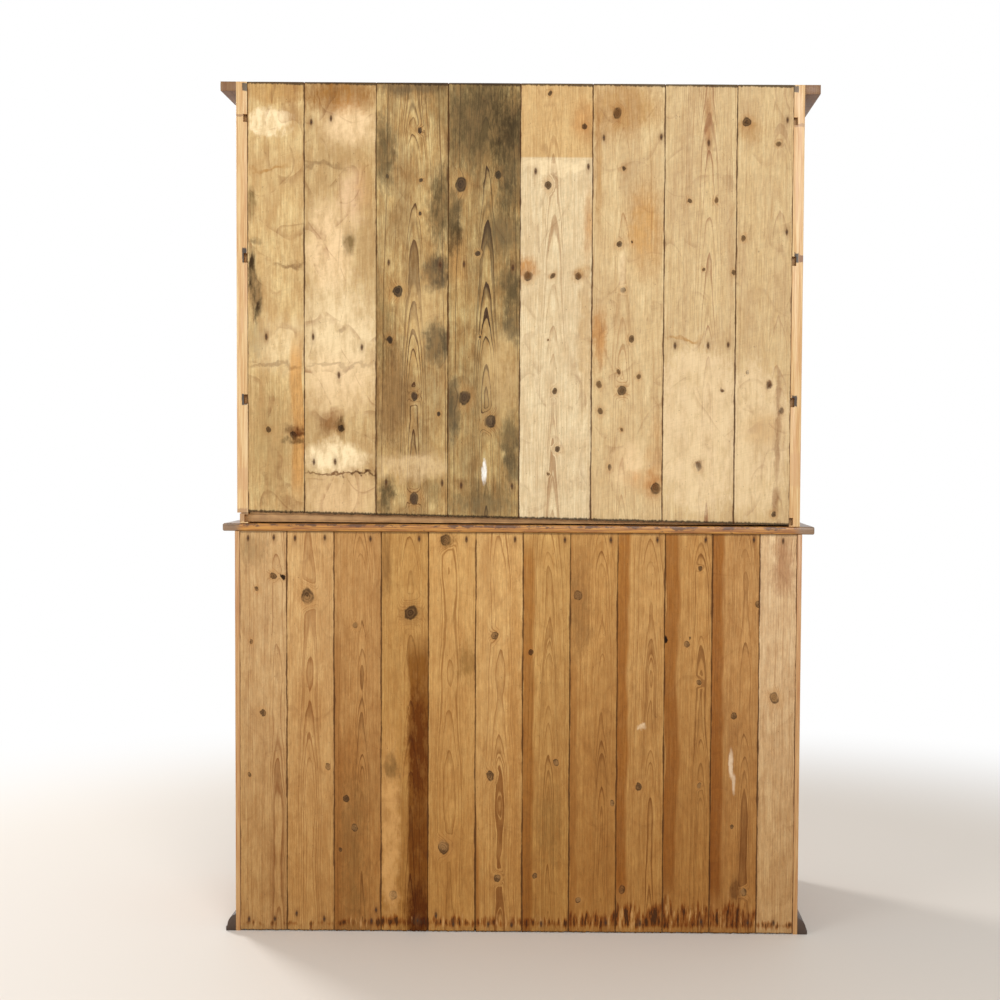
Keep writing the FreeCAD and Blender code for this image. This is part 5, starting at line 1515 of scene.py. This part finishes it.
# %% Glass and putty
glass = Finish("pane_glass")
x, y, z = glass.place()
smear = glass.cloud(x * 9, y * 9, z * 5, 4.0, 0.6)
glass.wear({"Base Color": glass.mix(smear, shade(214, 226, 220), shade(236, 240, 236)), "IOR": 1.5})
glass.wear({"Roughness": smear.between(0.4, 0.8, 0.02, 0.1), "Alpha": smear.between(0.45, 0.8, 0.025, 0.08)})
PANE_OVERLAP = 6
GLASS_FRONT, GLASS_REAR = -37.9, -35.1
PUTTY_FRONT, PUTTY_REAR = -34.9, -27.4


def pane(name, body, x_span, z_span, phase):
    """One pane of old glass, which waves a little."""
    low, high = (x_span[0], GLASS_FRONT, z_span[0]), (x_span[1], GLASS_REAR, z_span[1])
    bm = block(low, high, 0, (14, 0, 16))
    for v in bm.verts:
        v.co.y += 0.00012 * noise.noise(Vector((v.co.x * 14, phase, v.co.z * 14)))
    finish_piece(bm, name, body, glass, [f"{body}_panes"], "pane_glass")


def putty_ring(name, body, x_span, z_span):
    """The putty behind one pane: a three-cornered fillet run round the rebate."""
    bm = bmesh.new()
    loops = []
    for end_x, end_z in ((0, 0), (1, 0), (1, 1), (0, 1)):
        spots = []
        for deep, y in ((0, PUTTY_FRONT), (PANE_OVERLAP, PUTTY_FRONT), (0, PUTTY_REAR)):
            x = x_span[end_x] + deep * (1 - 2 * end_x)
            z = z_span[end_z] + deep * (1 - 2 * end_z)
            spots.append(bm.verts.new(Vector((x, y, z)) * MM))
        loops.append([bm.edges.new((spots[i], spots[(i + 1) % 3])) for i in range(3)])
    for first, second in zip(loops, loops[1:] + loops[:1]):
        bmesh.ops.bridge_loops(bm, edges=first + second)
    finish_piece(bm, name, body, pine["putty"], [f"{body}_frame"], "case_pine", Z, Y, 40.0)


print("a pane lies", PANE_OVERLAP, "mm behind its frame all round")

# %% The glazed doors
PAIR = (("left", -1), ("right", 1))
KNOB_UP = 0.52
BAR = 20.0
low, high, stile, foot, face = 1040.0, 1948.0, 60.0, 75.0, -48.0
spans, heights = (1.0, 1.0 + stile, 630.0 - stile, 630.0), (low, low + foot, high - stile, high)
wide, tall = (spans[2] - spans[1] - BAR) / 2, (heights[2] - heights[1] - 2 * BAR) / 3
upright = (spans[1] + wide, spans[1] + wide + BAR)
bar_lows = [heights[1] + count * tall + (count - 1) * BAR for count in (1, 2)]
bars = [(bar_low, bar_low + BAR) for bar_low in bar_lows]
for side, sign in PAIR:
    body = f"upper_door_{side}"
    door_frame(body, sign, face, spans, heights, 6.0, 7.0, upright, bars)
    for column, row in ((column, row) for column in (0, 1) for row in (0, 1, 2)):
        x_low, z_low = spans[1] + column * (wide + BAR), heights[1] + row * (tall + BAR)
        x_span = mirrored(sign, x_low - PANE_OVERLAP, x_low + wide + PANE_OVERLAP)
        z_span = (z_low - PANE_OVERLAP, z_low + tall + PANE_OVERLAP)
        place = f"{column + 1}_{row + 1}"
        pane(f"{body}_pane_{place}", body, x_span, z_span, row + column * 7.0)
        putty_ring(f"{body}_putty_{place}", body, x_span, z_span)
    knob_x, knob_z = knob_places["glazed"][0], low + (high - low) * KNOB_UP
    knob(f"{body}_knob", sign * knob_x, face, knob_z, body, f"{body}_frame")
print("glazed doors 2, each opening", round(wide, 1), "by", round(tall, 1), "mm")

# %% [markdown]
# ## The panelled doors
#
# Each lower door has one raised and fielded panel. Its plate is a cube whose front face is
# inset step by step: first to the frame's edge, then over the wide bevel while it rises, and
# last up the small step round the field. Insetting keeps the mitres of the bevel
# exact at all four corners.

# %% Panelled doors
panel_insets = ((9.0, 0.0), (0.4, 0.2), (33.0, 4.4), (1.0, 0.0), (0.5, 2.9), (1.6, 0.5))
PANEL_TONGUE = 8.5


def raised_panel(body, x_span, z_span, face):
    """A raised and fielded panel, from its plate behind to its field in front."""
    bm = block((x_span[0], face + 8.2, z_span[0]), (x_span[1], face + 13.8, z_span[1]), 0)
    front = [f for f in bm.faces if f.normal.y < -0.9]
    for wide, deep in panel_insets:
        bmesh.ops.inset_region(bm, faces=front, thickness=wide * MM, depth=deep * MM, use_even_offset=True)
    node = f"{body}_panel"
    finish_piece(bm, f"{body}_field", body, pine["panel_pine"], [node], "case_pine", Z, Y, 4.0)


low, high, stile, foot, face = 92.0, 777.0, 75.0, 95.0, -218.0
spans, heights = (1.0, 1.0 + stile, 631.0 - stile, 631.0), (low, low + foot, high - stile, high)
for side, sign in PAIR:
    body = f"lower_door_{side}"
    door_frame(body, sign, face, spans, heights, 9.0)
    x_span = mirrored(sign, spans[1] - PANEL_TONGUE, spans[2] + PANEL_TONGUE)
    raised_panel(body, x_span, (heights[1] - PANEL_TONGUE, heights[2] + PANEL_TONGUE), face)
    knob_x, knob_z = knob_places["panelled"][0], low + (high - low) * KNOB_UP
    knob(f"{body}_knob", sign * knob_x, face, knob_z, body, f"{body}_frame")
print("panelled doors 2")

# %% [markdown]
# ## Drawer fronts
#
# The drawer's front keeps the sockets of its dovetails, so it is taken from its solid without
# the knobs, and only the four edges round its face are rounded, with a wide soft bevel that
# many years of pulling have given it. The front is the widest shell of its solid.

# %% Drawer fronts


def wideness(bm):
    return max(v.co.x for v in bm.verts) - min(v.co.x for v in bm.verts)


for side, sign in PAIR:
    body, node = f"drawer_{side}", f"drawer_{side}_front"
    front, *extras = sorted(separate_boards(node), key=wideness, reverse=True)
    soften(front, 2.2, 4, lambda spot: spot.y < face + 0.5)
    finish_piece(front, f"{body}_face", body, pine["case_pine"], [node], "case_pine", X, Y)
    for extra in extras:
        extra.free()
    for count, x in enumerate(drawer_knobs_x, start=1):
        knob(f"{body}_knob_{count}", sign * x, face, drawer_knobs_z, body, node)
print("drawer fronts 2, knobs", 2 * len(drawer_knobs_x))

# %% [markdown]
# ## Turn buttons, hinges and screws
#
# A turn button is a slip of wood with clipped corners that swings on one screw. The butt
# hinges keep their solids, because their knuckles already have the true shape, and get iron.
# Their leaves get countersunk screws, three to a leaf, which show when a door stands open. A
# screw's head is a low dome: two cuts across its crown leave a strip, which is sunk as its
# slot.

# %% Screw heads


def points_in(geom):
    return [g for g in geom if isinstance(g, bmesh.types.BMVert)]


def screw_head(bm, centre, outwards, radius, height, turn):
    """A slotted screw head: a low dome with a slot across, in millimetres."""
    up = Vector(outwards)
    spin = up.to_track_quat("Z", "Y").to_matrix().to_4x4()
    place = Matrix.Translation(Vector(centre) * MM) @ spin @ Matrix.Rotation(turn, 4, "Z")
    inverse = place.inverted()
    verts = dome(bm, place, 20, radius, 0.8, height)
    caps = [f for f in {f for v in verts for f in v.link_faces} if len(f.verts) == 20]
    crown = [f for f in caps if (inverse @ f.calc_center_median()).z > 0]
    geom = crown + list({e for f in crown for e in f.edges}) + list({v for f in crown for v in f.verts})
    for offset in (-0.13, 0.13):
        plane = place @ Vector((offset * radius * MM, 0, 0))
        normal = place.to_3x3() @ Vector((1, 0, 0))
        cut = bmesh.ops.bisect_plane(bm, geom=geom, dist=1e-7, plane_co=plane, plane_no=normal)
        geom = cut["geom"]
    faces = [g for g in geom if isinstance(g, bmesh.types.BMFace)]
    slot = [f for f in faces if abs((inverse @ f.calc_center_median()).x) < 0.1 * radius * MM]
    sunk = bmesh.ops.extrude_face_region(bm, geom=slot)
    down = points_in(sunk["geom"])
    bmesh.ops.delete(bm, geom=slot, context="FACES")
    bmesh.ops.translate(bm, vec=-up * height * 0.5 * MM, verts=down)


print("a slot is an eighth of its head wide")

# %% Turn buttons, their screws and the hinges
heads = bmesh.new()
for case, face, z, turn in (("upper", -48.4, 1964.0, 0.5), ("lower", -218.4, 791.5, 1.1)):
    bm = block((-32, face - 10, z - 10), (32, face, z + 10), 0)
    bevel(bm, edges_along(bm, Y), 6, 1)
    worn(soften(bm, 1.6, 3), 0.3, z, 12.0)
    name = f"{case}_turn_button"
    finish_piece(bm, f"{name}_wood", name, pine["knob_pine"], [name], "case_pine", X, Y)
    screw_head(heads, (0, face - 11.9, z), (0, -1, 0), 6.0, 3.0, turn)
finish_piece(heads, "turn_button_screw_heads", "carcass", screw_iron, ["turn_button_screws"], "screw_iron")
leaf_screws = {"carcass": bmesh.new()}
for case, axis_x, y, feet in (("upper", 631.0, -38.6, (1130, 1788)), ("lower", 632.0, -208.6, (182, 617))):
    for side, sign in PAIR:
        moving = leaf_screws.setdefault(f"{case}_door_{side}", bmesh.new())
        for z in (foot + rise for foot in feet for rise in (12, 35, 58)):
            deep = y - 3.0 if z % 3 else y + 2.4
            screw_head(moving, (sign * (axis_x - 0.55), deep, z), (sign, 0, 0), 3.9, 1.0, z * 0.7)
            spot = (sign * (axis_x + 0.55), deep, z)
            screw_head(leaf_screws["carcass"], spot, (-sign, 0, 0), 3.9, 1.0, z * 1.3)
for body, bm in leaf_screws.items():
    finish_piece(bm, f"{body}_leaf_screws", body, screw_iron, (), "screw_iron")
for name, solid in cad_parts.items():
    if "hinge" in name:
        solid.data.materials.clear()
        solid.data.materials.append(hinge_iron.material)
print("turn buttons 2, meshes with leaf screws", len(leaf_screws))

# %% [markdown]
# ## The room
#
# The cupboard stands on a plain pale floor that runs out into white, and the light is soft and
# comes mostly from behind the camera, a little from above. The white is what the camera sees,
# also in reflections and through glass; what lights the cupboard from all round is dimmer.

# %% Floor, light and background


def seen_directly(nodes):
    """1 for the camera's own rays, and for those that come by a reflection or through glass."""
    camera_ray = nodes.add("ShaderNodeLightPath", {}, (), "Is Camera Ray")
    seen = camera_ray.math("MAXIMUM", camera_ray.out("Is Glossy Ray"))
    return seen.math("MAXIMUM", camera_ray.out("Is Transmission Ray"))


paint = Finish("floor_paint")
x, y, _ = paint.place()
paint.wear({"Base Color": shade(214, 206, 196), "Roughness": 0.7})
white = paint.add("ShaderNodeEmission", {}, {"Color": WHITE, "Strength": 1.0})
far = (x * x * 0.55 + y * y).math("SQRT").between(1.1, 2.4)
blend = paint.add("ShaderNodeMixShader", {}, (seen_directly(paint) * far, paint.shader, white))
paint.fill(paint.tree.nodes["Material Output"], {"Surface": blend})
bm = bmesh.new()
bmesh.ops.create_circle(bm, cap_ends=True, segments=64, radius=9.0)
floor = mesh_object("floor", bm)
floor.data.materials.append(paint.material)
floor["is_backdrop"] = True

world = bpy.data.worlds.new("studio")
world.use_nodes = True
bpy.context.scene.world = world
sky = Nodes(world.node_tree)
white = sky.add("ShaderNodeBackground", {}, {"Color": WHITE})
fill = sky.add("ShaderNodeBackground", {}, {"Color": (0.98, 0.99, 1.0, 1), "Strength": 0.62})
sky.add("ShaderNodeOutputWorld", {}, (sky.add("ShaderNodeMixShader", {}, (seen_directly(sky), fill, white)),))


def soft_lamp(name, place, target, size, power):
    """A round soft lamp that looks at a place."""
    lamp = bpy.data.lights.new(name, "AREA")
    lamp.shape, lamp.size, lamp.energy = "DISK", size, power
    holder = bpy.data.objects.new(name, lamp)
    holder.location = place
    holder.rotation_mode = "QUATERNION"
    holder.rotation_quaternion = (Vector(target) - Vector(place)).to_track_quat("-Z", "Y")
    bpy.context.scene.collection.objects.link(holder)


soft_lamp("lamp_behind_camera", (-1.2, 4.6, 3.0), (0, 0.2, 1.1), 2.6, 130)
soft_lamp("lamp_left", (3.4, 3.2, 2.2), (0, 0.2, 1.1), 2.0, 50)
soft_lamp("lamp_front", (3.3, -3.0, 3.4), (0, 0, 1.0), 1.3, 150)
print("lamps", len(bpy.data.lights))

# %% [markdown]
# ## The camera
#
# The camera looks at the cupboard's back from a little over half its height, almost square on,
# and the frame is shifted a little sideways instead of turning the camera.

# %% The camera
camera_data = bpy.data.cameras.new("camera")
camera = bpy.data.objects.new("camera", camera_data)
bpy.context.scene.collection.objects.link(camera)
camera_data.lens, camera_data.sensor_width, camera_data.shift_x = 49.45, 36.0, -0.08
yaw, pitch, roll = -0.002, 0.0376, 0.0065
flat_right = Vector((-math.cos(yaw), math.sin(yaw), 0))
flat_ahead = Vector((-math.sin(yaw), -math.cos(yaw), 0))
ahead = flat_ahead * math.cos(pitch) - Vector((0, 0, math.sin(pitch)))
up = flat_ahead * math.sin(pitch) + Vector((0, 0, math.cos(pitch)))
right = flat_right * math.cos(roll) + up * math.sin(roll)
top = up * math.cos(roll) - flat_right * math.sin(roll)
turned = Matrix((right, top, -ahead)).transposed().to_4x4()
camera.matrix_world = Matrix.Translation((-0.1544, BACK * MM + 3.3, 1.1783)) @ turned
bpy.context.scene.camera = camera
bpy.context.scene.view_settings.view_transform = "Standard"
visual_box = [list(corner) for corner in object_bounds()]
print("box of the solids", solid_box)
print("box of the pieces", visual_box)
